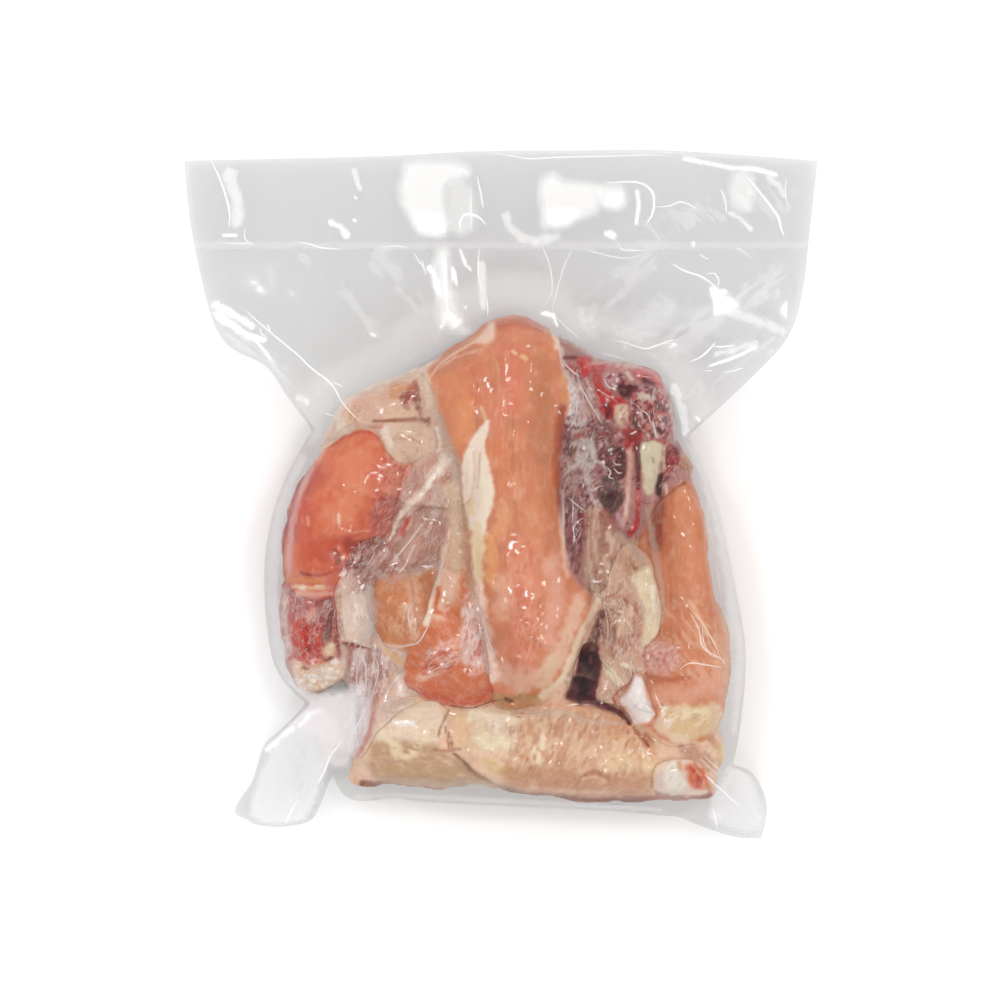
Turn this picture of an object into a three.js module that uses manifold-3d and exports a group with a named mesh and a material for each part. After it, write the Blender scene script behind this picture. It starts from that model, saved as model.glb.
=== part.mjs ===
// Raw chicken breasts on the bone in a clear vacuum bag, lying flat on a table.
// The film is drawn tight over four split breasts, so the pack is one closed body: a lumpy
// middle, a flat mouth with its heat seal, a wing at each side and a corner tail at each side
// of the foot. Millimetres, +Z up, +Y towards the mouth, origin on the table under the middle
// of the pack's box.

import * as THREE from 'three';
import { mergeVertices } from 'three/addons/utils/BufferGeometryUtils.js';
import Module from 'manifold-3d';

// Driving dimensions
const mouthHalfWidth = 125;     // flat width of the bag's mouth is 250
const mouthEdge = 131.5;        // y of the mouth's two corners
const mouthBow = 4;             // how far the middle of the mouth's edge bows out
const filmPair = 0.8;           // thickness of the two film walls pressed together
const marginLevel = 15;         // height of the film where it leaves the meat
const rimLevel = 3.5;           // height of the film at the mouth and at the tips of the tails
const mouthSink = 75;           // distance from the meat over which the mouth sinks to that
const tailSink = 30;            // and the tails
const drapeStart = 0.9;         // share of a piece's half width where the film leaves it
const crownShare = 0.55;        // share of a piece's height that bulges above its widest level
const bridge = 9;               // how softly the film spans from one piece to the next, in height
const bedHeight = 37;           // height to which the pieces are packed against each other
const bedShoulder = 26;         // width over which that bed rises from the margin
const undersideRound = 26;      // width of the round from the flat underside out to the margin
const undersidePower = 2.2;     // how late that round turns up
const grooveDepth = 2.2;        // depth of the grooves between the pieces on the underside
const grooveHalfWidth = 5;
const sealLine = 99;            // y of the heat seal across the mouth
const sealHalfWidth = 3.5;
const sealRelief = 0.5;
const bodyStep = 5;             // spacing of the surface grid over the meat
const flapStep = 7;             // spacing of the surface grid over the mouth
const flapStart = 62;           // y where the mouth's film begins
const outlineSteps = 3;         // straight pieces for each stretch of the outline's curves
const spineSamples = 16;

// The pieces of meat under the film. Each is a rounded bar that follows a spine, given from
// end to end as rows of x, y, height of its crest and half width.
const meat = {
  centreBreast: [[7, 46, 57, 25], [6, 24, 62, 23], [5, -2, 63, 21], [8, -29, 61, 23],
    [17, -50, 58, 21], [17, -63, 54, 17]],
  centreShoulder: [[-15, 41, 50, 13], [-15, 24, 52, 11], [-10, 6, 53, 8]],
  tenderloin: [[-36, -43, 50, 14], [-19, -55, 54, 17], [-12, -65, 52, 16]],
  ribCage: [[34, 41, 47, 13], [46, 28, 50, 21], [44, 5, 50, 21], [38, -18, 52, 17],
    [38, -37, 50, 15]],
  leftBreast: [[-44, 16, 44, 15], [-57, -2, 49, 24], [-67, -23, 45, 17]],
  skinPatch: [[-58, 32, 34, 12], [-41, 34, 38, 13], [-27, 38, 42, 11]],
  membrane: [[-23, 5, 47, 12], [-29, -14, 45, 16], [-39, -33, 45, 14]],
  leftTrim: [[-71, -41, 30, 12], [-73, -57, 27, 10], [-71, -71, 23, 9]],
  fatLump: [[-55, -41, 36, 10], [-58, -56, 32, 10]],
  rightBreast: [[65, 12, 42, 13], [71, -14, 47, 17], [73, -40, 48, 17], [71, -67, 46, 18],
    [70, -87, 42, 16]],
  innerFat: [[52, -37, 42, 13], [45, -56, 41, 13], [36, -68, 40, 12]],
  cartilage: [[51, -75, 44, 8], [55, -85, 43, 9]],
  footBreast: [[-39, -96, 40, 18], [-23, -96, 44, 19], [7, -99, 44, 18], [38, -102, 41, 16],
    [69, -106, 38, 13]],
  footFat: [[72, -94, 40, 12], [77, -104, 36, 11]],
};

// The line round the meat seen from above, where the upper and lower film meet
const meatEdge = [[-0.5, 69.5], [17, 68], [39, 55.5], [60.5, 42.5], [69.5, 29.5], [80.5, 3],
  [88.5, -37.5], [91.5, -61.5], [88, -93], [84, -119], [23, -120.5], [-16, -119], [-51.5, -116],
  [-58.5, -96.5], [-71, -81], [-84, -67.5], [-86.5, -28.5], [-80.5, 2.5], [-68, 25.5],
  [-61, 41.5], [-28, 55.5]];

// Where two pieces meet on the underside: start x, y and end x, y
const grooves = [[-42, 40, -30, -70], [45, 36, 28, -72], [-60, -84, 84, -86]];

// Soft folds that stand up in the flat film: start x, y, end x, y, height and half width
const folds = [
  [-21, 104, -10, 68, 2.6, 7],
  [-97, 64, -61, 27, 2.4, 7],
  [22, 63, 62, 58, 2.0, 7],
  [74, 47, 104, 59, 2.4, 7],
  [-112, 74, -90, 47, 2.0, 6],
  [59, 96, 84, 82, 1.6, 7],
  [-72, -98, -84, -126, 2.6, 6],
  [82, -104, 95, -130, 2.6, 6],
];

// The bag's outline: stretches of curve that meet at its corners
const outlineStretches = [
  [[-mouthHalfWidth, mouthEdge], [-49, mouthEdge + 1.8], [-9, mouthEdge + 3.7],
    [30, mouthEdge + mouthBow], [68, mouthEdge + mouthBow], [mouthHalfWidth, mouthEdge]],
  [[mouthHalfWidth, mouthEdge], [122, 105], [119, 80], [113, 62], [98, 45.5], [73, 22.5]],
  [[73, 22.5], [83.5, -3], [91, -35], [95.5, -62], [93.5, -90], [90.5, -105.5]],
  [[90.5, -105.5], [98, -109], [103, -117], [104.5, -125], [102.5, -135.5]],
  [[102.5, -135.5], [94.5, -135], [85, -132.5], [69, -126]],
  [[69, -126], [36, -123.5], [-27.5, -120.5], [-41.5, -119], [-56.5, -120], [-63, -116],
    [-66, -108.5]],
  [[-66, -108.5], [-71.5, -123], [-77, -129.5], [-93.5, -131], [-105, -125.5]],
  [[-105, -125.5], [-98, -113], [-93.5, -99.5], [-87.5, -93.5], [-76, -82]],
  [[-76, -82], [-88.5, -67], [-92.5, -35.5], [-89.5, -9], [-82, 10.5], [-73.5, 25]],
  [[-73.5, 25], [-83.5, 38], [-92, 50], [-107.5, 58.5], [-115, 73], [-122, 103],
    [-mouthHalfWidth, mouthEdge]],
];

const smoothStep = (low, high, value) => THREE.MathUtils.smoothstep(value, low, high);

// The higher of two heights, with the corner between them rounded over a height of `blend`
function softMax(a, b, blend) {
  const overlap = Math.max(blend - Math.abs(a - b), 0) / blend;
  return Math.max(a, b) + overlap * overlap * blend / 4;
}

function distanceToSegment(x, y, x0, y0, x1, y1) {
  const dx = x1 - x0;
  const dy = y1 - y0;
  const along = THREE.MathUtils.clamp(((x - x0) * dx + (y - y0) * dy) / (dx * dx + dy * dy), 0, 1);
  return Math.hypot(x - x0 - along * dx, y - y0 - along * dy);
}

// Distance from the meat's edge line, counted positive on the meat's side
const edgeLine = new THREE.CatmullRomCurve3(
  meatEdge.map(([x, y]) => new THREE.Vector3(x, y, 0)), true, 'centripetal').getPoints(120);

function depthInsideMeat(x, y) {
  let nearest = Infinity;
  let inside = false;
  for (let i = 0; i < edgeLine.length - 1; i += 1) {
    const a = edgeLine[i];
    const b = edgeLine[i + 1];
    nearest = Math.min(nearest, distanceToSegment(x, y, a.x, a.y, b.x, b.y));
    const crosses = (a.y > y) !== (b.y > y);
    if (crosses && x < a.x + (b.x - a.x) * (y - a.y) / (b.y - a.y)) inside = !inside;
  }
  return inside ? nearest : -nearest;
}

// Each piece's spine as close-set beads: place, height of the crest and half width
function spineBeads(rows) {
  const line = new THREE.CatmullRomCurve3(rows.map(([x, y, crest]) => new THREE.Vector3(x, y, crest)));
  const widths = new THREE.CatmullRomCurve3(rows.map((row, i) => new THREE.Vector3(i, row[3], 0)));
  return Array.from({ length: spineSamples + 1 }, (_, i) => {
    const place = line.getPoint(i / spineSamples);
    return { x: place.x, y: place.y, crest: place.z, half: widths.getPoint(i / spineSamples).y };
  });
}

const pieces = Object.values(meat).map(spineBeads);

// Height of the film over one bead: its rounded crown, then straight down off its shoulder
function beadHeight({ x: beadX, y: beadY, crest, half }, x, y) {
  const share = Math.hypot(x - beadX, y - beadY) / half;
  const rise = crest * crownShare;
  const onCrown = Math.min(share, drapeStart);
  const crown = Math.sqrt(1 - onCrown * onCrown);
  const slope = rise * onCrown / crown;
  return crest - rise * (1 - crown) - slope * (share - onCrown);
}

// Level of the flat film round the meat: high at the margin, sinking to the mouth and tails
function filmLevel(x, y, outside) {
  const sink = THREE.MathUtils.lerp(tailSink, mouthSink, smoothStep(-90, -20, y));
  let level = THREE.MathUtils.lerp(marginLevel, rimLevel, smoothStep(0, sink, outside));
  const away = smoothStep(2, 12, outside);
  for (const [x0, y0, x1, y1, height, half] of folds) {
    const share = distanceToSegment(x, y, x0, y0, x1, y1) / half;
    level += away * height * Math.exp(-share * share);
  }
  return level;
}

function upperSurface(x, y, level, inside) {
  const seal = sealRelief * smoothStep(sealHalfWidth + 3, sealHalfWidth - 1, Math.abs(y - sealLine));
  const shoulder = 1 - THREE.MathUtils.clamp(inside / bedShoulder, 0, 1);
  const bed = inside > 0 ? (bedHeight - marginLevel) * (1 - shoulder * shoulder) : 0;
  let height = level + filmPair / 2 + seal + bed;
  for (const beads of pieces) {
    const piece = Math.max(...beads.map((bead) => beadHeight(bead, x, y)));
    height = softMax(height, piece, bridge);
  }
  return height;
}

function lowerSurface(x, y, level, inside) {
  const lift = Math.max(1 - inside / undersideRound, 0);
  if (inside <= 0) return level - filmPair / 2;
  let height = (level - filmPair / 2) * lift ** undersidePower;
  for (const [x0, y0, x1, y1] of grooves) {
    const share = distanceToSegment(x, y, x0, y0, x1, y1) / grooveHalfWidth;
    height += grooveDepth * Math.max(1 - share * share, 0);
  }
  return height;
}

function gridLines(from, to, step) {
  const count = Math.round((to - from) / step);
  return Array.from({ length: count + 1 }, (_, i) => from + (to - from) * i / count);
}

// A slab over the pack's whole box, with the upper and lower surfaces on one grid, so the flat
// film keeps its thickness
function surfaceSlab() {
  const overrun = 3;
  const reachX = mouthHalfWidth + overrun;
  const reachY = mouthEdge + mouthBow + overrun;
  const xs = gridLines(-reachX, reachX, bodyStep);
  const ys = [...gridLines(-reachY, flapStart, bodyStep).slice(0, -1),
    ...gridLines(flapStart, reachY, flapStep)];
  const upper = [];
  const lower = [];
  for (const y of ys) {
    for (const x of xs) {
      const inside = depthInsideMeat(x, y);
      const level = filmLevel(x, y, Math.max(-inside, 0));
      upper.push(x, y, upperSurface(x, y, level, inside));
      lower.push(x, y, lowerSurface(x, y, level, inside));
    }
  }
  const columns = xs.length;
  const rows = ys.length;
  const layer = columns * rows;
  const faces = [];
  const quad = (a, b, c, d) => faces.push(a, b, c, a, c, d);
  for (let row = 0; row < rows - 1; row += 1) {
    for (let column = 0; column < columns - 1; column += 1) {
      const a = row * columns + column;
      const [b, c, d] = [a + 1, a + columns + 1, a + columns];
      if ((row + column) % 2 === 0) quad(a, b, c, d);
      else quad(b, c, d, a);
      const [e, f, g, h] = [d, c, b, a].map((corner) => corner + layer);
      if ((row + column) % 2 === 0) quad(h, e, f, g);
      else quad(e, f, g, h);
    }
  }
  const wall = (a, b) => quad(a, a + layer, b + layer, b);
  for (let column = 0; column < columns - 1; column += 1) {
    wall(column, column + 1);
    wall((rows - 1) * columns + column + 1, (rows - 1) * columns + column);
  }
  for (let row = 0; row < rows - 1; row += 1) {
    wall((row + 1) * columns, row * columns);
    wall(row * columns + columns - 1, (row + 1) * columns + columns - 1);
  }
  const geometry = new THREE.BufferGeometry();
  geometry.setAttribute('position', new THREE.Float32BufferAttribute([...upper, ...lower], 3));
  geometry.setIndex(faces);
  return geometry;
}

function outlinePrism() {
  const shape = new THREE.Shape();
  shape.moveTo(...outlineStretches[0][0]);
  for (const [, ...rest] of outlineStretches) {
    shape.splineThru(rest.map(([x, y]) => new THREE.Vector2(x, y)));
  }
  const geometry = new THREE.ExtrudeGeometry(shape, {
    depth: 100, steps: 1, bevelEnabled: false, curveSegments: outlineSteps,
  });
  geometry.translate(0, 0, -10);
  return geometry;
}

const wasm = await Module();
wasm.setup();

function solidFrom(geometry) {
  geometry.deleteAttribute('normal');
  geometry.deleteAttribute('uv');
  const merged = mergeVertices(geometry, 1e-4);
  return new wasm.Manifold(new wasm.Mesh({
    numProp: 3,
    vertProperties: new Float32Array(merged.attributes.position.array),
    triVerts: new Uint32Array(merged.index.array),
  }));
}

function geometryFrom(solid) {
  const mesh = solid.getMesh();
  const geometry = new THREE.BufferGeometry();
  geometry.setAttribute('position', new THREE.Float32BufferAttribute(mesh.vertProperties, 3));
  geometry.setIndex(Array.from(mesh.triVerts));
  geometry.computeVertexNormals();
  geometry.computeBoundingBox();
  return geometry;
}

const packGeometry = geometryFrom(solidFrom(surfaceSlab()).intersect(solidFrom(outlinePrism())));
const pack = new THREE.Mesh(packGeometry, new THREE.MeshStandardMaterial({
  color: 0xd9ae92, roughness: 0.3, metalness: 0,
}));
pack.name = 'sealed_pack';

const box = packGeometry.boundingBox;
pack.position.set(-(box.min.x + box.max.x) / 2, -(box.min.y + box.max.y) / 2, -box.min.z);

const group = new THREE.Group();
group.add(pack);

export default group;
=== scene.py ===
import bpy
import numpy as np
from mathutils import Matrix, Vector
from mathutils.bvhtree import BVHTree


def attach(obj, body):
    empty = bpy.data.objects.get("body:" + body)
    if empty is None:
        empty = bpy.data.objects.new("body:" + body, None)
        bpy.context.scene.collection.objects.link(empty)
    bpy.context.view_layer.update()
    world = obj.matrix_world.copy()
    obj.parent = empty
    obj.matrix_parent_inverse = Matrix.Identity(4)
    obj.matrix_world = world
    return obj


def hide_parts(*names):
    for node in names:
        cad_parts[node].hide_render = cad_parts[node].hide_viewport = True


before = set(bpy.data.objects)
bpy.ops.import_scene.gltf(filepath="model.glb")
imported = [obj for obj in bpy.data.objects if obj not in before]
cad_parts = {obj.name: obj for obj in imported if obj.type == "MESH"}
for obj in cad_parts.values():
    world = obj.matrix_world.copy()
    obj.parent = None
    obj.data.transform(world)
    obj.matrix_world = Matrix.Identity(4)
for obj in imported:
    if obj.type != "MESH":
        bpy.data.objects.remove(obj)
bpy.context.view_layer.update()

# The studio: a plain white table, soft lights round the pack and a camera straight above it.
# The camera stands where the photograph's stood, a little over a metre above the table.
scene = bpy.context.scene
scene.view_settings.view_transform = "Standard"
scene.cycles.transparent_max_bounces = 32
scene.cycles.diffuse_bounces = 3
scene.cycles.glossy_bounces = 2
eye = np.array([-0.4, -2.4, 1100.0])
metre = 0.001

camera = bpy.data.objects.new("camera", bpy.data.cameras.new("camera"))
camera.data.lens = 100
camera.data.sensor_width = 36
camera.data.clip_end = 20
camera.location = Vector(eye) * metre
scene.collection.objects.link(camera)
scene.camera = camera

world = bpy.data.worlds.new("soft_room")
world.use_nodes = True
world.node_tree.nodes["Background"].inputs["Color"].default_value = (1.0, 1.0, 1.0, 1.0)
world.node_tree.nodes["Background"].inputs["Strength"].default_value = 0.77
scene.world = world


def softbox(name, place, size, power, mirrored=False):
    """A square studio lamp that looks at the middle of the pack. Only a mirrored one shows
    in the film as a glint."""
    lamp = bpy.data.lights.new(name, "AREA")
    lamp.shape = "RECTANGLE"
    lamp.size, lamp.size_y = size
    lamp.energy = power
    holder = bpy.data.objects.new(name, lamp)
    holder.location = place
    holder.rotation_euler = (-Vector(place)).to_track_quat("-Z", "Y").to_euler()
    holder.visible_glossy = mirrored
    scene.collection.objects.link(holder)


softbox("softbox_left", (-1.60, 0.20, 0.75), (1.3, 1.1), 6.5)
softbox("softbox_right", (1.60, 0.10, 0.75), (1.3, 1.1), 6.5)
softbox("softbox_top", (0.0, 1.65, 0.80), (1.5, 1.1), 6.5)
softbox("softbox_front", (0.0, -1.65, 0.80), (1.5, 1.1), 5.0)
softbox("glint_left", (-0.62, 0.52, 1.20), (0.10, 0.14), 2.4, mirrored=True)
softbox("glint_right", (0.66, 0.40, 1.20), (0.10, 0.14), 2.4, mirrored=True)
softbox("glint_front", (0.10, -0.72, 1.20), (0.14, 0.10), 2.0, mirrored=True)


class Value:
    """A number from one socket. Sums and products of such numbers add Math nodes."""

    def __init__(self, recipe, socket):
        self.recipe, self.socket = recipe, socket

    def math(self, operation, first, second):
        node = self.recipe.node("ShaderNodeMath", {"operation": operation}, {0: first, 1: second})
        return Value(self.recipe, node.outputs[0])

    def __add__(self, other):
        return self.math("ADD", self, other)

    def __sub__(self, other):
        return self.math("SUBTRACT", self, other)

    def __mul__(self, other):
        return self.math("MULTIPLY", self, other)

    def __pow__(self, other):
        return self.math("POWER", self, other)

    def __rsub__(self, other):
        return self.math("SUBTRACT", other, self)

    __radd__ = __add__
    __rmul__ = __mul__

    def ramp(self, low, high):
        """0 below low, 1 above high, smooth between. With low over high it falls."""
        node = self.recipe.node("ShaderNodeMapRange", {"interpolation_type": "SMOOTHSTEP"},
                                {"Value": self, "From Min": low, "From Max": high})
        return Value(self.recipe, node.outputs[0])


class Nodes:
    """A node tree and the one way to add nodes to it."""

    def __init__(self, tree):
        self.tree = tree

    def node(self, kind, settings=None, sockets=None):
        """Adds a node: its settings first, then the values or links of its sockets."""
        node = self.tree.nodes.new(kind)
        for name, value in (settings or {}).items():
            setattr(node, name, value)
        for key, value in (sockets or {}).items():
            value = value.socket if isinstance(value, Value) else value
            if isinstance(value, bpy.types.NodeSocket):
                self.tree.links.new(value, node.inputs[key])
            else:
                node.inputs[key].default_value = value
        return node


class Recipe(Nodes):
    """The nodes of one material, which starts with a Principled shader on its output."""

    def __init__(self, name):
        self.material = bpy.data.materials.new(name)
        self.material.use_nodes = True
        super().__init__(self.material.node_tree)
        self.shader = self.tree.nodes["Principled BSDF"]
        self.output = self.tree.nodes["Material Output"]
        self.place = self.node("ShaderNodeTexCoord").outputs["Object"]

    def brushed(self, name):
        """The node that reads an attribute stored on the mesh."""
        return self.node("ShaderNodeAttribute", {"attribute_name": name})

    def noise(self, size, detail=3.0, place=None, roughness=0.55):
        """Soft noise with lumps of the given size in millimetres, about 0.5."""
        node = self.node("ShaderNodeTexNoise", None,
                         {"Vector": place or self.place, "Scale": 1 / (size * metre),
                          "Detail": detail, "Roughness": roughness})
        return Value(self, node.outputs[0])

    def stretched(self, angle, long, wide):
        """Places turned about Z and squeezed along the grain, for streaks."""
        turned = self.node("ShaderNodeMapping", None,
                           {"Vector": self.place, "Rotation": (0, 0, -np.radians(angle))})
        node = self.node("ShaderNodeMapping", None,
                         {"Vector": turned.outputs[0], "Scale": (1 / long, 1 / wide, 1 / wide)})
        return node.outputs[0]

    def cells(self, size):
        """Distance from the middles of cells of the given size in millimetres."""
        node = self.node("ShaderNodeTexVoronoi", {"feature": "F1"},
                         {"Vector": self.place, "Scale": 1 / (size * metre)})
        return Value(self, node.outputs["Distance"])

    def mix(self, share, one, two, blend="MIX"):
        """A colour between one and two."""
        node = self.node("ShaderNodeMix", {"data_type": "RGBA", "blend_type": blend},
                         {0: share, 6: one, 7: two})
        return node.outputs[2]

    def bump(self, height, depth):
        """A normal that follows height, a number that stands for depth millimetres at 1."""
        node = self.node("ShaderNodeBump", None, {"Height": height, "Distance": depth * metre})
        return node.outputs[0]

    def feed(self, **sockets):
        """Sets sockets of the Principled shader, with _ for a space in their names."""
        for name, value in sockets.items():
            socket = self.shader.inputs[name.replace("_", " ")]
            value = value.socket if isinstance(value, Value) else value
            if isinstance(value, bpy.types.NodeSocket):
                self.tree.links.new(value, socket)
            else:
                socket.default_value = value


# The floor: one wide matt sheet of white card under the pack, which isn't part of it.
table = Recipe("white_card")
table.feed(Base_Color=(0.90, 0.90, 0.90, 1.0), Roughness=0.9)
floor_mesh = bpy.data.meshes.new("floor")
floor_reach = 6.0
floor_mesh.from_pydata([(x * floor_reach, y * floor_reach, -0.0002)
                        for x, y in ((-1, -1), (1, -1), (1, 1), (-1, 1))], [], [(0, 1, 2, 3)])
floor_mesh.materials.append(table.material)
floor = bpy.data.objects.new("floor", floor_mesh)
scene.collection.objects.link(floor)


# The form of the pack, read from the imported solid: how high its top and underside lie over a
# board of small squares, in millimetres. The meat and the film are both laid out on it.
def solid_heights(node, xs, ys):
    """Top and underside of a CAD node over a board, not a number outside it."""
    mesh = node.data
    tree = BVHTree.FromPolygons([v.co for v in mesh.vertices], [p.vertices for p in mesh.polygons])
    high, low = 1.0, -1.0
    top = np.full((len(xs), len(ys)), np.nan)
    under = np.full((len(xs), len(ys)), np.nan)
    for i, x in enumerate(xs):
        for j, y in enumerate(ys):
            place = Vector((x * metre, y * metre, high))
            hit = tree.ray_cast(place, Vector((0, 0, -1)))[0]
            if hit:
                top[i, j] = hit.z / metre
                place.z = low
                under[i, j] = tree.ray_cast(place, Vector((0, 0, 1)))[0].z / metre
    return top, under


def spread(heights, rounds):
    """Fills the places outside the solid from their neighbours, and rounds the facets off."""
    known = ~np.isnan(heights)
    level = np.where(known, heights, 0.0)
    share = known.astype(float)
    for _ in range(rounds):
        for side in (0, 1):
            level = (level + np.roll(level, 1, side) + np.roll(level, -1, side)) / 3
            share = (share + np.roll(share, 1, side) + np.roll(share, -1, side)) / 3
    return level / np.maximum(share, 1e-6)


def between(board, xs, ys, at_x, at_y):
    """Reads a board at any places, straight between its squares."""
    u = np.clip((at_x - xs[0]) / (xs[1] - xs[0]), 0, len(xs) - 1.001)
    v = np.clip((at_y - ys[0]) / (ys[1] - ys[0]), 0, len(ys) - 1.001)
    i, j = u.astype(int), v.astype(int)
    u, v = u - i, v - j
    return ((board[i, j] * (1 - u) + board[i + 1, j] * u) * (1 - v)
            + (board[i, j + 1] * (1 - u) + board[i + 1, j + 1] * u) * v)


def seen(x, y, z):
    """Where a point shows to the camera, in millimetres on the level of the bag's flap."""
    flap_level = 10.0
    nearer = (eye[2] - flap_level) / (eye[2] - z)
    return eye[0] + (x - eye[0]) * nearer, eye[1] + (y - eye[1]) * nearer


sheet_step = 1.1
sheet_x = np.arange(-127.6, 127.7, sheet_step)
sheet_y = np.arange(-138.6, 138.7, sheet_step)
solid_top, solid_under = solid_heights(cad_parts["sealed_pack"], sheet_x, sheet_y)
facet_rounds = 6
form_top = spread(solid_top, facet_rounds)
form_under = spread(solid_under, facet_rounds)

meat_step = 0.55
meat_x = np.arange(-97.5, 99.5, meat_step)
meat_y = np.arange(-128.0, 80.0, meat_step)
board_x, board_y = np.meshgrid(meat_x, meat_y, indexing="ij")
meat_top = between(form_top, sheet_x, sheet_y, board_x, board_y)
meat_under = between(form_under, sheet_x, sheet_y, board_x, board_y)
seen_x, seen_y = seen(board_x, board_y, meat_top)

view_step = 0.45
view_x = np.arange(-100.0, 101.0, view_step)
view_y = np.arange(-130.0, 82.0, view_step)
view_gx, view_gy = np.meshgrid(view_x, view_y, indexing="ij")


def ripple(x, y, z, size, seed):
    """Smooth random numbers between -1 and 1, with lumps of the given size."""
    table_side = 32
    table = np.random.default_rng(seed).uniform(-1, 1, (table_side,) * 3)
    place = np.stack(np.broadcast_arrays(x, y, z), axis=-1) / size
    whole = np.floor(place).astype(int)
    part = place - whole
    part = part * part * (3 - 2 * part)
    total = 0.0
    for corner in np.ndindex(2, 2, 2):
        share = np.prod(np.where(np.array(corner) == 1, part, 1 - part), axis=-1)
        i, j, k = np.moveaxis((whole + corner) % table_side, -1, 0)
        total = total + share * table[i, j, k]
    return total


def rounded(points, closed=True, per_span=4):
    """A smooth curve through given points."""
    points = np.array(points, float)
    count = len(points)
    spans = count if closed else count - 1
    out = []
    for i in range(spans):
        picks = [i - 1, i, i + 1, i + 2]
        p = points[[k % count for k in picks]] if closed else points[np.clip(picks, 0, count - 1)]
        for t in np.arange(per_span) / per_span:
            out.append(0.5 * (2 * p[1] + (p[2] - p[0]) * t
                              + (2 * p[0] - 5 * p[1] + 4 * p[2] - p[3]) * t ** 2
                              + (3 * p[1] - p[0] - 3 * p[2] + p[3]) * t ** 3))
    if not closed:
        out.append(points[-1])
    return np.array(out)


def away(x, y, path):
    """Distance of places from a path, and how far along it, 0 to 1, the nearest point lies."""
    path = np.array(path, float).reshape(-1, 2)
    if len(path) == 1:
        return np.hypot(x - path[0, 0], y - path[0, 1]), np.zeros(np.shape(x))
    best = np.full(np.shape(x), 1e9)
    along = np.zeros(np.shape(x))
    for k, (a, b) in enumerate(zip(path[:-1], path[1:])):
        run = b - a
        t = np.clip(((x - a[0]) * run[0] + (y - a[1]) * run[1]) / (run @ run), 0, 1)
        gap = np.hypot(x - a[0] - t * run[0], y - a[1] - t * run[1])
        closer = gap < best
        best = np.where(closer, gap, best)
        along = np.where(closer, (k + t) / (len(path) - 1), along)
    return best, along


def depth_inside(x, y, outline):
    """How deep places lie inside a closed outline, negative outside it, to 8 mm at most."""
    ring = np.vstack([outline, outline[:1]])
    reach = 8.0
    near = ((x > ring[:, 0].min() - reach) & (x < ring[:, 0].max() + reach)
            & (y > ring[:, 1].min() - reach) & (y < ring[:, 1].max() + reach))
    depth = np.full(np.shape(x), -reach)
    x, y = x[near], y[near]
    inside = np.zeros(np.shape(x), bool)
    for a, b in zip(ring[:-1], ring[1:]):
        if a[1] != b[1]:
            crosses = (a[1] > y) != (b[1] > y)
            inside ^= crosses & (x < a[0] + (y - a[1]) * (b[0] - a[0]) / (b[1] - a[1]))
    depth[near] = np.where(inside, 1, -1) * away(x, y, ring)[0]
    return depth


def smooth(t):
    """0 to 1 with a soft start and end."""
    t = np.clip(t, 0, 1)
    return t * t * (3 - 2 * t)


def flecks(x, y, long, wide, angle, amount):
    """Torn flecks, 1 with soft edges to 0, drawn out along an angle in degrees. They take up
    about the given amount of the area."""
    turn = np.radians(angle)
    along = (x * np.cos(turn) + y * np.sin(turn)) / long
    across = (y * np.cos(turn) - x * np.sin(turn)) / wide
    torn = ripple(along, across, 0.5, 1.0, 201) + 0.6 * ripple(along, across, 0.5, 0.45, 202)
    return smooth((torn + (amount - 0.5) * 1.6) / 0.3 + 0.5)


def touch(x, y, mark, wobble):
    """How strongly a mark covers places: a brushed path with a half width, or with half
    width 0 the area inside its path. Below 0 the area's edge is softer by as much. Edges
    are made uneven by wobble, from -1 to 1. A sixth item breaks the mark up into flecks."""
    half, path = mark[1], np.array(mark[4], float)
    start, end = half if isinstance(half, tuple) else (half, half)
    reach = 1.5 + 1.5 * max(start, end, -start)
    near = ((x > path[:, 0].min() - reach) & (x < path[:, 0].max() + reach)
            & (y > path[:, 1].min() - reach) & (y < path[:, 1].max() + reach))
    cover = np.zeros(np.shape(x))
    x, y, wobble = x[near], y[near], wobble[near]
    if start <= 0:
        soft = 1.1 - start
        cover[near] = smooth((depth_inside(x, y, rounded(path)) + 0.6 * wobble) / soft + 0.5)
    else:
        gap, along = away(x, y, path)
        width = start + (end - start) * along
        cover[near] = smooth(1.35 * (1 - (gap / width) + 0.3 * wobble))
    if len(mark) > 5:
        cover[near] *= flecks(x, y, *mark[5])
    return cover


def slab(keep, gx, gy, upper, lower, rim_x, rim_y):
    """A closed mesh between two height maps over the kept squares of a board. The points on
    its rim are moved to the places rim_x, rim_y, so that its edge is smooth."""
    number = np.arange(gx.size).reshape(gx.shape)
    quads = np.stack([number[:-1, :-1], number[1:, :-1], number[1:, 1:], number[:-1, 1:]],
                     axis=-1)[keep]
    sides = np.vstack([quads[:, [k, (k + 1) % 4]] for k in range(4)])
    _, first, count = np.unique(np.sort(sides, axis=1), axis=0, return_index=True,
                                return_counts=True)
    rim = sides[first[count == 1]]
    x, y = gx.ravel().copy(), gy.ravel().copy()
    edge = np.unique(rim)
    x[edge], y[edge] = rim_x.ravel()[edge], rim_y.ravel()[edge]
    used = np.unique(quads)
    renumber = np.zeros(gx.size, int)
    renumber[used] = np.arange(len(used))
    quads, rim = renumber[quads], renumber[rim]
    above = np.stack([x, y, upper.ravel()], axis=1)[used]
    below = np.stack([x, y, lower.ravel()], axis=1)[used]
    total = len(used)
    wall = np.stack([rim[:, 1], rim[:, 0], rim[:, 0] + total, rim[:, 1] + total], axis=1)
    return np.vstack([above, below]), np.vstack([quads, quads[:, ::-1] + total, wall]), used


def filled(keep):
    """Fills the gaps where kept squares only meet at a corner."""
    keep = keep.copy()
    for _ in range(4):
        a, b = keep[:-1, :-1], keep[1:, 1:]
        c, d = keep[1:, :-1], keep[:-1, 1:]
        corner = (a & b & ~c & ~d) | (c & d & ~a & ~b)
        for part in (a, b, c, d):
            part |= corner
    return keep


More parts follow.
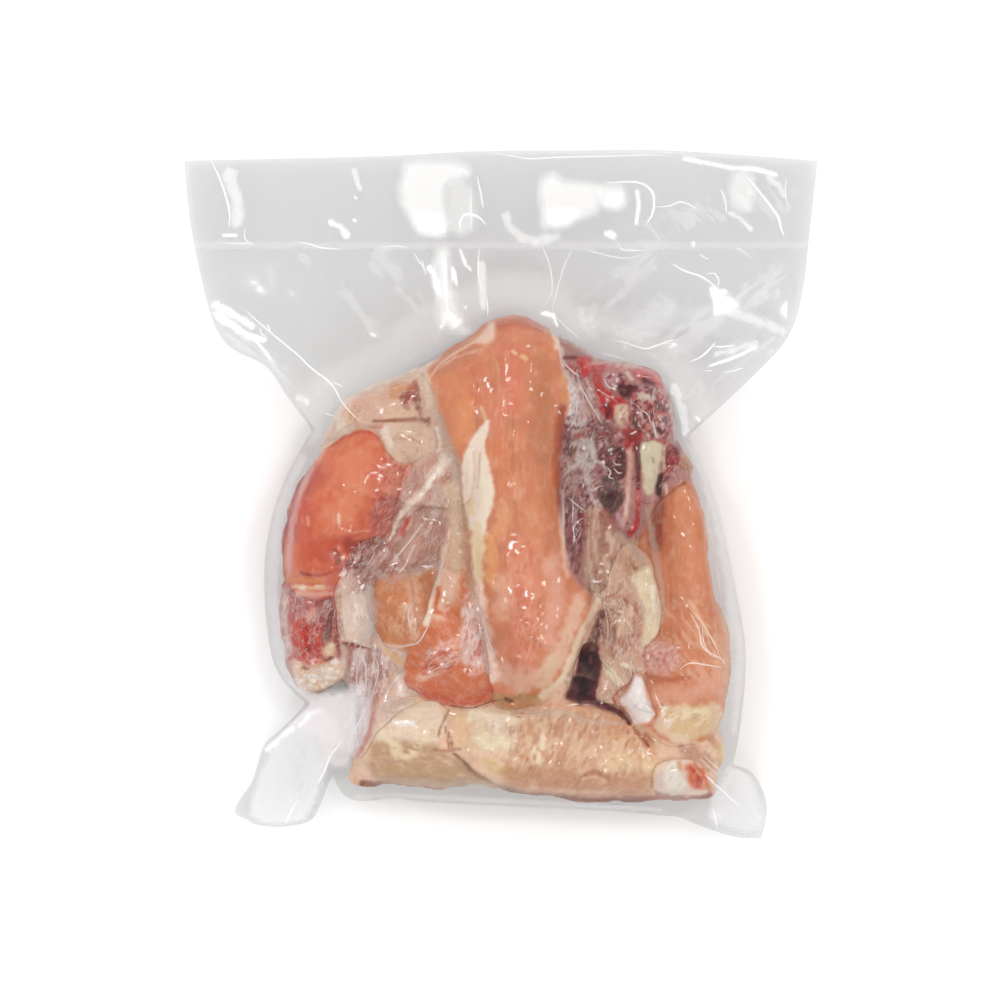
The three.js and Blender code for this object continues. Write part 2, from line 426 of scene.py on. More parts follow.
def main_patch(keep):
    """Drops loose scraps of kept squares: keeps the patch that has the most."""
    label = np.where(keep, np.arange(1, keep.size + 1).reshape(keep.shape), 0)
    while True:
        best = label.copy()
        best[1:] = np.maximum(best[1:], label[:-1])
        best[:-1] = np.maximum(best[:-1], label[1:])
        best[:, 1:] = np.maximum(best[:, 1:], label[:, :-1])
        best[:, :-1] = np.maximum(best[:, :-1], label[:, 1:])
        best = np.where(keep, best, 0)
        lead = np.append(0, best.ravel())
        best = np.where(keep, lead[best], 0)
        if (best == label).all():
            return label == np.bincount(label[keep]).argmax()
        label = best


def object_of(name, points, faces, material):
    """An object at the origin with its points given in millimetres."""
    mesh = bpy.data.meshes.new(name)
    mesh.vertices.add(len(points))
    mesh.vertices.foreach_set("co", (points * metre).astype(np.float32).ravel())
    mesh.loops.add(faces.size)
    mesh.loops.foreach_set("vertex_index", faces.astype(np.int32).ravel())
    mesh.polygons.add(len(faces))
    mesh.polygons.foreach_set("loop_start", np.arange(0, faces.size, faces.shape[1]))
    mesh.update(calc_edges=True)
    mesh.shade_smooth()
    mesh.materials.append(material)
    piece = bpy.data.objects.new(name, mesh)
    scene.collection.objects.link(piece)
    return piece


def belongs(piece):
    """A piece of the sealed pack: it moves with it and takes the place of its plain solid."""
    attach(piece, "root")
    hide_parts("sealed_pack")


def tint(piece, light, cover=None):
    """Stores colours on the points of a piece, and how much of what lies below they hide."""
    shade = np.ones((len(light), 4), np.float32)
    shade[:, :3] = light
    piece.data.attributes.new("tone", "FLOAT_COLOR", "POINT").data.foreach_set("color", shade.ravel())
    if cover is not None:
        one_side = 1 - np.sqrt(1 - np.clip(cover, 0, 0.99))
        hold = piece.data.attributes.new("cover", "FLOAT", "POINT")
        hold.data.foreach_set("value", one_side.astype(np.float32))


screen_gamma = 2.2


def under_film(tone):
    """The colour of a thing that looks like tone, from 0 to 255, through the film. The film
    and the warm light from the things round it add a veil, which is less over dark places."""
    veil, dark_share = np.array((0.068, 0.058, 0.046)), 0.60
    light = (np.clip(tone, 0, 255) / 255) ** screen_gamma
    return np.clip(np.maximum(light - veil, light * dark_share), 0.004, 0.9)


class Heap:
    """The pieces of meat, laid one on another from the table up. It also holds the colours
    of the heap as the camera sees it, so that neighbours run into each other at their seams."""

    def __init__(self):
        film_room = 0.6
        self.top = meat_under + film_room
        self.there = np.zeros(board_x.shape, bool)
        self.tone = np.zeros(view_gx.shape + (3,))
        self.known = np.zeros(view_gx.shape, bool)

    def lay(self, name, outline, marks, ground, material, shoulder=4.0, thin=1.0, lift=0.0,
            lumps=0.5, blend=2.4, seed=1):
        """Makes one piece. It fills the pack's form inside its outline, over what lies there
        already, and rolls down over the width of its shoulder to its rim. Marks raise or
        sink its skin and colour it. Over the width of blend its colour runs into the next."""
        wobble = ripple(board_x, board_y, 0, 5.0, seed)
        depth = depth_inside(seen_x, seen_y, rounded(outline)) + 0.7 * wobble
        seam_gap = 0.25
        rest = self.top + seam_gap
        wrap = 0.9
        body = meat_top - wrap + lift
        body += lumps * ripple(board_x, board_y, 0, 13.0, seed + 1)
        body += 0.35 * lumps * ripple(board_x, board_y, 0, 3.5, seed + 2)
        for mark in marks:
            if mark[2]:
                body += mark[2] * touch(seen_x, seen_y, mark, wobble)
        roll = np.clip(depth / shoulder, 0, 1)
        crown = np.sqrt(1 - (1 - roll) ** 2)
        upper = rest + np.maximum(body - rest, thin) * crown
        slope_x, slope_y = np.gradient(depth, meat_step)
        steep = np.maximum(slope_x ** 2 + slope_y ** 2, 0.25)
        rim_x = board_x - depth * slope_x / steep
        rim_y = board_y - depth * slope_y / steep
        middle = (depth[:-1, :-1] + depth[1:, :-1] + depth[:-1, 1:] + depth[1:, 1:]) / 4
        keep = filled(main_patch(middle > 0))
        wall = 0.05
        points, faces, _ = slab(keep, board_x, board_y, np.maximum(upper, rest + wall), rest,
                                rim_x, rim_y)
        self.top = np.maximum(self.top, np.where(depth > 0, upper, -1.0))
        self.there |= depth > 0
        self.paint(rounded(outline), marks, ground, blend, seed)
        piece = object_of(name, points, faces, material)
        across, up = seen(*points.T)
        tone = [between(self.tone[..., k], view_x, view_y, across, up) for k in range(3)]
        tint(piece, under_film(np.stack(tone, axis=1)))
        belongs(piece)

    def paint(self, outline, marks, ground, blend, seed):
        """Brushes the ground colour and then the marks of a piece on the view."""
        wobble = (ripple(view_gx, view_gy, 0, 2.6, seed + 5)
                  + 0.5 * ripple(view_gx, view_gy, 0, 1.1, seed + 6))
        depth = depth_inside(view_gx, view_gy, outline)
        colour = np.array(ground, float) * (1 + 0.035 * ripple(view_gx, view_gy, 0, 7.0, seed + 7))[..., None]
        share = np.where(self.known, smooth((depth + 0.5 * wobble) / blend + 0.1), depth > -4)
        self.tone += (colour - self.tone) * share[..., None]
        self.known |= depth > -1
        within = smooth(depth / 1.5 + 0.6)
        for mark in marks:
            cover = mark[3] * touch(view_gx, view_gy, mark, wobble) * within
            self.tone += (np.array(mark[0], float) - self.tone) * cover[..., None]


def flesh(name, grain=90.0, streak=0.10, mottle=0.10, sinew=0.0, dimple=0.0, gloss=0.5):
    """Raw meat: the brushed colour with streaks along the grain, soft mottling, fine pale
    sinews and, on skin, small dimples."""
    r = Recipe(name)
    tone = r.brushed("tone").outputs["Color"]
    fibre = r.noise(0.55, 3.0, r.stretched(grain, 9.0, 1.0))
    bundle = r.noise(2.2, 2.0, r.stretched(grain, 6.0, 1.0))
    cloud = r.noise(5.0, 6.0, None, 0.62)
    dark = r.mix(1.0, tone, (0.76, 0.62, 0.56, 1.0), "MULTIPLY")
    pale = r.mix(0.42, tone, (0.95, 0.82, 0.68, 1.0))
    stripes = (fibre * 0.6 + bundle * 0.4).ramp(0.42, 0.72)
    colour = r.mix(stripes * streak, tone, dark)
    colour = r.mix(cloud.ramp(0.50, 0.72) * mottle, colour, pale)
    colour = r.mix(cloud.ramp(0.48, 0.28) * mottle, colour, dark)
    relief = fibre * 0.25 + bundle * 0.5 + cloud * 0.9
    if sinew:
        vein = r.noise(4.5, 5.0, r.stretched(grain, 2.6, 1.0), 0.6)
        line = ((vein - 0.5) * (vein - 0.5)).ramp(0.0009, 0.0)
        other = r.noise(3.0, 4.0, r.stretched(grain + 40, 2.0, 1.0), 0.6)
        cross = ((other - 0.53) * (other - 0.53)).ramp(0.0006, 0.0)
        white = r.mix(0.6, tone, (0.92, 0.80, 0.72, 1.0))
        colour = r.mix((line + cross * 0.6) * sinew, colour, white)
        relief = relief + line * (sinew * 0.8)
    if dimple:
        pores = r.cells(2.3).ramp(0.55, 0.10)
        colour = r.mix(pores * dimple, colour, dark)
        relief = relief - pores * (dimple * 2.0)
    r.feed(Base_Color=colour, Roughness=cloud.ramp(0.3, 0.8) * 0.2 + gloss,
           Normal=r.bump(relief, 0.5))
    r.shader.inputs["Specular IOR Level"].default_value = 0.15
    return r.material


heap = Heap()

# The foot breast: a whole breast with its skin on, lying across the narrow end of the bag.
# Its skin is cream to peach, wrinkled, with yellow fat under it.
skin_cream = (229, 207, 180)
skin_peach = (226, 188, 160)
foot_outline = [(-58.5, -104), (-57, -96), (-54, -89), (-50, -78), (-40, -66), (-20, -64),
                (10, -66), (34, -68), (50, -74), (62, -80), (80, -86), (86, -94), (88, -103),
                (86, -110), (84, -119), (70, -121), (50, -121.5), (30, -121), (15, -119.3),
                (0, -118), (-10, -115.6), (-18, -116.2), (-25, -117.3), (-35, -116), (-45, -115.3),
                (-57.5, -114.5), (-59.5, -110)]
crinkle = (6.0, 2.4, 70, 0.42)
foot_marks = [
    ((231, 208, 184), -2.0, 0.8, 0.9, [(-50, -80), (-30, -79), (-22, -86), (-25, -97), (-48, -99)]),
    ((188, 152, 122), -2.0, 0, 0.85, [(-50, -98), (-28, -98), (-18, -104), (-6, -113), (-20, -117),
                                   (-48, -115)]),
    ((190, 164, 116), 3.0, 0.2, 0.7, [(-46, -108), (-32, -110), (-14, -113)], (6.0, 0.9, -14, 0.45)),
    ((222, 190, 160), 3.4, 0.2, 0.6, [(-46, -102), (-32, -103), (-20, -107)], (6.0, 1.0, -12, 0.45)),
    ((224, 190, 165), 3, 0, 0.85, [(-56, -101), (-56, -112)]),
    ((196, 146, 108), 1.3, -0.4, 0.6, [(-49.5, -100), (-49.5, -111)]),
    ((228, 184, 142), 2.2, 0.5, 0.7, [(-46, -84), (-38, -81), (-30, -80)]),
    (skin_cream, 2.4, 0.6, 0.8, [(-48.5, -84), (-48, -95)]),
    # Painted highlight: a white glint on the skin.
    ((243, 232, 224), 1.6, 0.7, 0.95, [(-42, -89.5), (-35, -90)]),
    ((178, 150, 122), 2.4, -0.4, 0.7, [(-17, -105), (-9, -112), (0, -117)]),
    ((222, 188, 146), 4.5, 1.2, 0.8, [(-16, -88), (-16, -97)]),
    ((234, 218, 190), 4.2, 1.2, 0.85, [(-11, -87), (0, -88), (4, -89)]),
    ((231, 214, 184), 7.0, 1.6, 0.9, [(-7, -96), (0, -97)]),
    ((210, 182, 130), 3.6, 0, 0.75, [(-5, -106), (4, -110), (14, -110)]),
    ((240, 226, 212), 3.4, 0.5, 0.8, [(-2, -91), (5, -94)], (2.4, 0.9, 60, 0.45)),
    ((206, 166, 130), 3.0, -0.5, 0.6, [(2, -90), (5, -98), (2, -104)], (2.6, 0.8, 75, 0.4)),
    ((214, 168, 136), -2.5, 1.0, 0.9, [(9, -84), (24, -82), (38, -86), (40, -100), (26, -110), (10, -104)]),
    ((204, 138, 98), 2.4, -0.3, 0.7, [(8, -103), (12, -107)]),
    ((212, 160, 128), 3.0, 0.6, 0.8, [(16, -85), (28, -83.6), (40, -86), (48, -90)]),
    ((212, 166, 138), 5, 0.5, 0.6, [(18, -114), (34, -115), (52, -115)]),
    ((218, 168, 130), -2.5, 0.5, 0.85, [(40, -88), (50, -90), (60, -98), (60, -104), (46, -106)]),
    ((229, 200, 158), 5.5, 0.6, 0.8, [(46, -104), (58, -108)]),
    ((236, 212, 186), -2, 0.6, 0.38, [(8, -86), (50, -88), (60, -104), (40, -112), (8, -106)], crinkle),
    ((208, 152, 118), -2, -0.5, 0.35, [(8, -88), (50, -90), (60, -102), (40, -118), (10, -114)],
     (5.4, 2.0, 60, 0.34)),
    # Painted shade: this band and the next darken the lower edge, where the breast rolls under.
    ((196, 146, 116), 6.0, -0.3, 0.8, [(4, -110), (18, -112), (34, -114), (56, -113)]),
    ((190, 138, 104), 2.6, -0.6, 0.85, [(-2, -115), (16, -117.6), (40, -118.6), (58, -118)]),
    ((198, 154, 124), 3.0, -0.4, 0.6, [(20, -92), (27, -98), (24, -106)], (5.0, 1.8, 50, 0.5)),
    ((240, 222, 192), 3.6, 0.4, 0.8, [(12, -88), (16, -96), (14, -104)], (5.0, 2.0, 110, 0.5)),
    ((216, 142, 102), 2.4, 0, 0.7, [(44, -88), (52, -93), (58, -98)], (2.6, 0.9, 50, 0.55)),
    # Painted highlight: glints on the orange skin.
    ((244, 222, 192), 1.8, 0.5, 0.8, [(55, -100), (58, -104)], (1.6, 0.8, 30, 0.5)),
    ((204, 160, 124), 1.6, 0, 0.7, [(20, -119.4), (45, -120), (58, -118.6)]),
    # Painted shade along the lower edge, where the breast rolls under, in this line and the next.
    ((142, 96, 72), 2.0, 0, 0.88, [(-54, -113.6), (-40, -115), (-30, -116), (-22, -117), (-10, -116)]),
    ((176, 140, 108), 3.0, -0.3, 0.7, [(-44, -112), (-28, -113), (-10, -114)]),
    ((238, 218, 180), 3.4, 0.5, 0.75, [(-30, -94), (-38, -104), (-44, -96)], (6.0, 2.2, -20, 0.5)),
    # Painted shade along the lower edge, where the breast rolls under.
    ((134, 84, 60), 2.0, 0, 0.88, [(0, -116.6), (14, -118.6), (40, -120.2), (58, -120)]),
    ((184, 140, 108), 0.6, -0.8, 0.8, [(-20.5, -85), (-22, -88), (-24, -92), (-24.5, -95)]),
    ((180, 122, 94), 1.6, -1.0, 0.7, [(-21, -91), (-20.4, -96), (-19.3, -101)], (3.0, 0.8, 100, 0.5)),
    ((184, 132, 108), 0.7, -0.7, 0.7, [(-26, -100.5), (-20, -101), (-16, -100)]),
    ((156, 116, 90), (0.6, 1.4), -1.3, 0.75, [(-18.5, -102), (-15, -104.5), (-12, -108), (-8, -111),
                                       (-3, -113.6), (5, -116.5), (12, -118)]),
    ((196, 142, 110), 1.0, -0.8, 0.55, [(29, -114), (32, -110.4), (37, -109), (42, -111.4), (43, -115.6),
                                        (39, -119), (32, -118.6), (29, -115)]),
    ((226, 188, 162), 1.0, 0.5, 0.7, [(32, -112), (37, -110.6), (41, -113)]),
    ((150, 88, 60), 0.7, -0.9, 0.8, [(52, -91.5), (55.5, -96), (58, -99)]),
    ((158, 94, 64), 0.5, -0.7, 0.7, [(56.5, -94), (60, -97.5)]),
    ((236, 190, 150), 0.7, 0.5, 0.8, [(53, -95), (56, -99)]),
    ((158, 76, 56), 1.6, -0.3, 0.85, [(58, -120), (62, -118.8), (68, -120)]),
    ((188, 122, 80), 2.0, -0.4, 0.8, [(82, -95), (84, -99)]),
    ((212, 164, 104), 1.6, 0, 0.85, [(85, -98), (86, -106)]),
    ((228, 200, 150), 0.9, 0, 0.8, [(87, -97), (87.6, -105)]),
    ((196, 152, 130), 3.6, 0.2, 0.88, [(72, -100), (77, -102), (82, -106)]),
]
skin_on = flesh("skin_on_breast", grain=0.0, streak=0.08, mottle=0.42, sinew=0.10, dimple=0.20,
                gloss=0.38)
heap.lay("foot_breast", foot_outline, foot_marks, skin_peach, skin_on, shoulder=5,
         lumps=0.9, seed=11)

# The right breast: a long boned muscle down the side of the bag, with a pad of yellow fat at
# its lower end.
right_outline = [(50, 12), (60, 18), (71, 16), (76, 8), (78.5, 0), (81, -7), (82, -15), (83.5, -25),
                 (85, -35), (86, -42), (88.5, -48), (91, -54), (91.5, -62), (91, -72), (89.5, -80),
                 (88, -86), (86.5, -93), (83, -95), (78, -97.5), (70, -99), (62, -97),
                 (55, -91), (46, -84), (40, -70), (42, -50), (44, -30), (44, -8)]
right_marks = [
    ((208, 140, 108), 8, 0.8, 0.8, [(70, 4), (71, -14), (74, -34), (75, -54)]),
    ((190, 118, 88), 4, 0, 0.7, [(66, 10), (72, 6), (78, 0)]),
    ((224, 176, 148), -2.5, 0.3, 0.6, [(64, -46), (76, -42), (88, -56), (88, -76), (64, -76)], (6.0, 2.2,
     -50, 0.4)),
    ((198, 126, 90), 3.4, 0, 0.7, [(79.4, -12), (82.4, -30), (84.4, -40)]),
    ((152, 78, 56), 3.6, -0.6, 0.88, [(62, 10), (61.6, -4), (61, -11), (61, -20)]),
    ((192, 118, 86), 3.0, 0, 0.7, [(67, 6), (66, -12), (64, -24)]),
    ((222, 160, 128), 5, 0.3, 0.6, [(70, -24), (72, -40), (72, -52)], (9.0, 1.1, 98, 0.45)),
    ((196, 116, 84), 4.5, -0.2, 0.5, [(66, -28), (68, -44), (72, -54)], (9.0, 0.9, 96, 0.35)),
    ((216, 164, 150), -3.5, 0.3, 0.8, [(55, -58), (60, -57), (68, -60), (68, -68), (61, -71), (56, -69)]),
    ((230, 196, 186), -2, 0.5, 0.75, [(55, -58), (68, -58), (70, -68), (57, -70)], (1.6, 0.8, 40, 0.36)),
    ((186, 104, 98), -3.5, -0.3, 0.45, [(55, -58), (68, -60), (69, -69), (57, -69)], (1.5, 0.8, 120, 0.28)),
    ((196, 112, 80), (1.6, 1.0), -0.9, 0.7, [(57, -72), (62, -73), (68, -73), (74, -72)]),
    ((204, 124, 90), 2.6, -0.2, 0.6, [(60, -75), (70, -76), (76, -75)]),
    ((218, 160, 134), 5, 0.4, 0.8, [(62, -79), (74, -79), (84, -76)]),
    ((206, 150, 118), 3.4, 0, 0.75, [(85, -50), (88, -60), (89, -74)]),
    ((240, 204, 172), 4.6, 0.3, 0.75, [(72, -44), (79, -54), (86, -64)], (9.0, 0.7, -52, 0.36)),
    ((200, 120, 84), 4.0, -0.3, 0.55, [(74, -48), (81, -58), (86, -66)], (8.0, 0.7, -54, 0.3)),
    ((214, 184, 146), -2.8, 0.8, 0.92, [(63, -84), (74, -83), (85, -84), (86, -91), (78, -96), (68, -97)]),
    ((232, 212, 178), 4.6, 0.4, 0.8, [(66, -86), (76, -88), (84, -86)], (4.4, 1.8, 30, 0.5)),
    ((218, 186, 134), 4.2, -0.3, 0.6, [(68, -92), (78, -93), (84, -88)], (2.6, 1.2, 20, 0.4)),
    ((214, 180, 148), 2.6, 0, 0.75, [(83, -82), (84, -90)]),
    ((236, 220, 208), 2.4, 0.6, 0.85, [(63.5, -84), (66, -91)], (2.2, 1.2, 70, 0.6)),
    ((230, 180, 150), 0.8, 0.4, 0.7, [(61.6, -82), (62.4, -88)]),
    ((210, 162, 130), 1.8, 0, 0.8, [(80, -4), (83, -30), (88.6, -54), (90.4, -66), (88, -82)]),
    ((150, 96, 72), 1.0, -1.2, 0.8, [(51, -90), (56, -94), (61, -98)]),
    ((190, 124, 86), 1.6, -0.6, 0.75, [(78, -96.5), (84, -95)]),
    ((228, 200, 174), 2.8, 0, 0.85, [(61, -90), (66, -94.6), (72, -96.6)]),
]
long_muscle = flesh("long_muscle", grain=90.0, streak=0.20, mottle=0.26, sinew=0.08)
heap.lay("right_breast", right_outline, right_marks, (204, 136, 104), long_muscle,
         shoulder=4.5, seed=23)

# The red trim: an offcut at the left edge, dark red flesh with a white rim of fat round it.
trim_outline = [(-87.5, -44), (-85, -34), (-76, -26), (-62, -26), (-52, -36), (-48, -54),
                (-52, -68), (-60, -73), (-66, -76.5), (-72, -79), (-77, -79), (-81, -75),
                (-84.5, -68), (-85.5, -60), (-87, -52)]
trim_marks = [
    ((206, 176, 170), 2.4, 0, 0.85, [(-85.5, -38), (-85, -50), (-83.5, -62)]),
    ((228, 206, 198), 2.2, 0.3, 0.7, [(-85, -40), (-85, -52), (-83.5, -64)], (2.6, 1.0, 80, 0.4)),
    ((150, 92, 96), 2.0, 0, 0.85, [(-83, -38), (-79, -42), (-80, -46)], (2.0, 1.0, 60, 0.6)),
    ((218, 188, 176), 1.3, 0.4, 0.8, [(-80, -39.5), (-71, -40.5)]),
    ((188, 126, 122), -1.6, 0, 0.9, [(-78.5, -43), (-68, -41), (-67.5, -49), (-77, -50)]),
    ((146, 70, 66), -1.4, -0.5, 0.85, [(-71, -41), (-66, -41.5), (-66.5, -57), (-69.5, -57.5), (-71, -50)]),
    ((192, 80, 62), -1.8, 0.4, 0.9, [(-82, -50), (-77, -48.6), (-75.6, -57), (-81, -59)]),
    ((194, 74, 60), -1.8, 0.6, 0.92, [(-79, -54), (-72, -53), (-70.6, -63), (-72, -67), (-78, -66)]),
    ((222, 140, 124), 3.4, 0.4, 0.7, [(-76, -43), (-74, -51), (-73, -58)], (3.0, 0.7, 105, 0.36)),
    ((130, 48, 50), 4.0, -0.5, 0.6, [(-74, -44), (-76, -54), (-74, -64)], (2.6, 0.9, 80, 0.3)),
    ((150, 92, 68), 1.3, -0.3, 0.8, [(-69.5, -56), (-69, -61)]),
    ((104, 40, 36), (0.6, 1.0), -1.4, 0.9, [(-66.2, -46), (-67.5, -51), (-68.3, -57)]),
    ((150, 80, 74), -1.4, 0.3, 0.9, [(-66, -49), (-63.4, -49), (-62.2, -58), (-66, -58)]),
    ((110, 56, 46), 0.7, -1.0, 0.85, [(-63, -49.5), (-62.3, -53), (-61.6, -57)]),
    ((156, 86, 80), -1.4, 0, 0.9, [(-66, -57.5), (-61.5, -57.5), (-57, -60.8), (-62, -63), (-66, -61)]),
    ((222, 192, 160), -1.4, 0.8, 0.92, [(-69.4, -60), (-65.6, -58), (-65, -63), (-69, -64.6)]),
    ((230, 210, 192), -2.2, 1.0, 0.92, [(-82.5, -66), (-74, -67.5), (-66, -65), (-59, -66), (-57, -73),
                                     (-66, -77), (-75, -80), (-80, -77)]),
    ((222, 172, 140), -2, 0.3, 0.8, [(-82, -65), (-72, -66), (-62, -66), (-62, -75), (-74, -79)],
     (2.4, 1.0, 20, 0.34)),
    ((242, 232, 222), -2, 0.5, 0.8, [(-82, -66), (-60, -66), (-60, -75), (-76, -79)], (2.6, 1.0, 160, 0.34)),
    ((206, 150, 100), -2, -0.2, 0.6, [(-80, -68), (-66, -66), (-62, -70), (-74, -77)], (1.8, 0.9, 30, 0.22)),
    ((128, 60, 34), 1.0, -0.8, 0.9, [(-69, -65.4), (-66.4, -64.2)]),
    ((150, 80, 56), 0.9, -0.4, 0.85, [(-77.4, -68.1), (-75.6, -68.5)]),
    ((178, 130, 114), 3.0, -0.3, 0.8, [(-61, -62), (-58.6, -68), (-60, -73)]),
    ((206, 136, 72), 0.9, 0, 0.85, [(-71.3, -66.6), (-69.4, -65.4)]),
    ((206, 150, 108), 0.8, -0.4, 0.8, [(-74, -77.6), (-71.3, -77.9), (-69.6, -77)]),
]
soft_trim = flesh("soft_trim", grain=60.0, streak=0.25, mottle=0.45, sinew=0.40)
heap.lay("red_trim", trim_outline, trim_marks, (182, 112, 104), soft_trim,
         shoulder=3.0, seed=31)

# The skin flap: loose skin and fat torn from the left breast, folded over behind it.
flap_outline = [(-72, 18), (-69.5, 23), (-66.5, 29), (-64, 35), (-60, 39), (-55, 41.5), (-51, 43.8),
                (-46, 45.4), (-40, 47), (-33, 50), (-27, 53), (-20, 55), (-8, 52), (-8, 20),
                (-10, -4), (-26, -8), (-44, -4), (-60, 6), (-70, 10)]
flap_marks = [
    ((224, 206, 186), 4, 0.3, 0.85, [(-64, 32), (-63, 26)]),
    ((208, 152, 112), 2.4, 0, 0.8, [(-58.5, 30.5), (-56.5, 27.5)]),
    ((212, 170, 148), -1.0, 0.3, 0.9, [(-58, 40), (-46, 41), (-45, 31), (-56, 30.5)]),
    ((222, 186, 152), 1.8, 0.2, 0.8, [(-53, 42), (-45, 44)]),
    ((206, 147, 110), -1.0, 0.2, 0.9, [(-44, 42), (-36, 44), (-34.5, 38.5), (-43, 37.5)]),
    ((214, 174, 142), 1.6, 0.2, 0.7, [(-43, 35.5), (-40, 32.5), (-36, 31.8)]),
    ((175, 110, 92), -1.0, 0, 0.85, [(-38.5, 38.5), (-33.5, 44.5), (-32.5, 38), (-37, 35)]),
    ((160, 112, 98), 1.5, -0.6, 0.7, [(-32.8, 42), (-32.6, 36), (-31.4, 31)]),
    ((150, 90, 76), 2.6, -0.5, 0.7, [(-38, 38), (-33, 40), (-32, 34)], (2.0, 1.2, 60, 0.5)),
    ((150, 84, 72), 0.9, -0.5, 0.5, [(-37.6, 36.8), (-38.1, 34.8), (-36.4, 33.5)]),
    ((224, 166, 150), 0.6, 0.4, 0.85, [(-36.4, 36.4), (-35.2, 34.8)]),
    ((219, 187, 162), -1.0, 0.6, 0.9, [(-46, 27.5), (-33, 28), (-27, 24), (-26, 10), (-40, 12), (-46, 20)]),
    ((228, 208, 192), 2.0, 0.5, 0.85, [(-45, 25), (-43, 19.5)]),
    ((232, 210, 184), 0.8, 0.5, 0.7, [(-41, 24.4), (-37, 24.8), (-33, 23.5)]),
    ((206, 160, 132), 0.6, -0.4, 0.7, [(-42, 21.5), (-36, 22.2), (-31, 20)]),
    ((206, 162, 140), 1.4, 0, 0.6, [(-39, 17), (-35, 12)]),
    ((170, 106, 78), (0.5, 1.3), -1.2, 0.8, [(-50, 28.4), (-44, 28.7), (-38, 29), (-33.2, 29.3)]),
    ((130, 86, 68), 1.2, -0.8, 0.8, [(-31.4, 29.2), (-29.6, 28.6)]),
    ((148, 106, 92), 0.6, -0.4, 0.8, [(-28.4, 30), (-28, 28), (-28.8, 26.6)]),
    ((218, 194, 170), 2.2, 0.7, 0.8, [(-29, 51), (-29.2, 42), (-28.4, 34)]),
    ((198, 168, 148), 0.5, -0.4, 0.7, [(-30.8, 47), (-30.4, 40), (-29.6, 33)]),
    ((228, 210, 198), (1.0, 1.8), 0.7, 0.9, [(-25.4, 26), (-24, 20), (-24.4, 13)]),
    ((150, 128, 118), 0.4, -0.2, 0.8, [(-30, 51), (-27.6, 51.8)]),
    ((196, 162, 144), 0.7, -0.3, 0.7, [(-71, 19.5), (-68.6, 25), (-66.4, 29)]),
    ((238, 218, 200), 2.2, 0, 0.75, [(-69, 24), (-64, 34), (-55, 41), (-46, 44.6), (-34, 49.4), (-24, 53)]),
    ((230, 194, 170), 0.5, 0.5, 0.8, [(-62.5, 36.5), (-59, 32.6), (-57, 30), (-53, 27.6), (-49.5, 27)]),
    ((206, 128, 112), 1.0, 0.2, 0.85, [(-51.5, 26.4), (-47, 26.6)]),
    ((226, 206, 194), 1.6, 0.4, 0.8, [(-30, 11), (-26, 10), (-22, 12)]),
]
torn_skin = flesh("torn_skin", grain=20.0, streak=0.10, mottle=0.40, sinew=0.30, dimple=0.12, gloss=0.36)
heap.lay("skin_flap", flap_outline, flap_marks, (213, 178, 155), torn_skin,
         shoulder=3.0, lumps=0.8, seed=37)

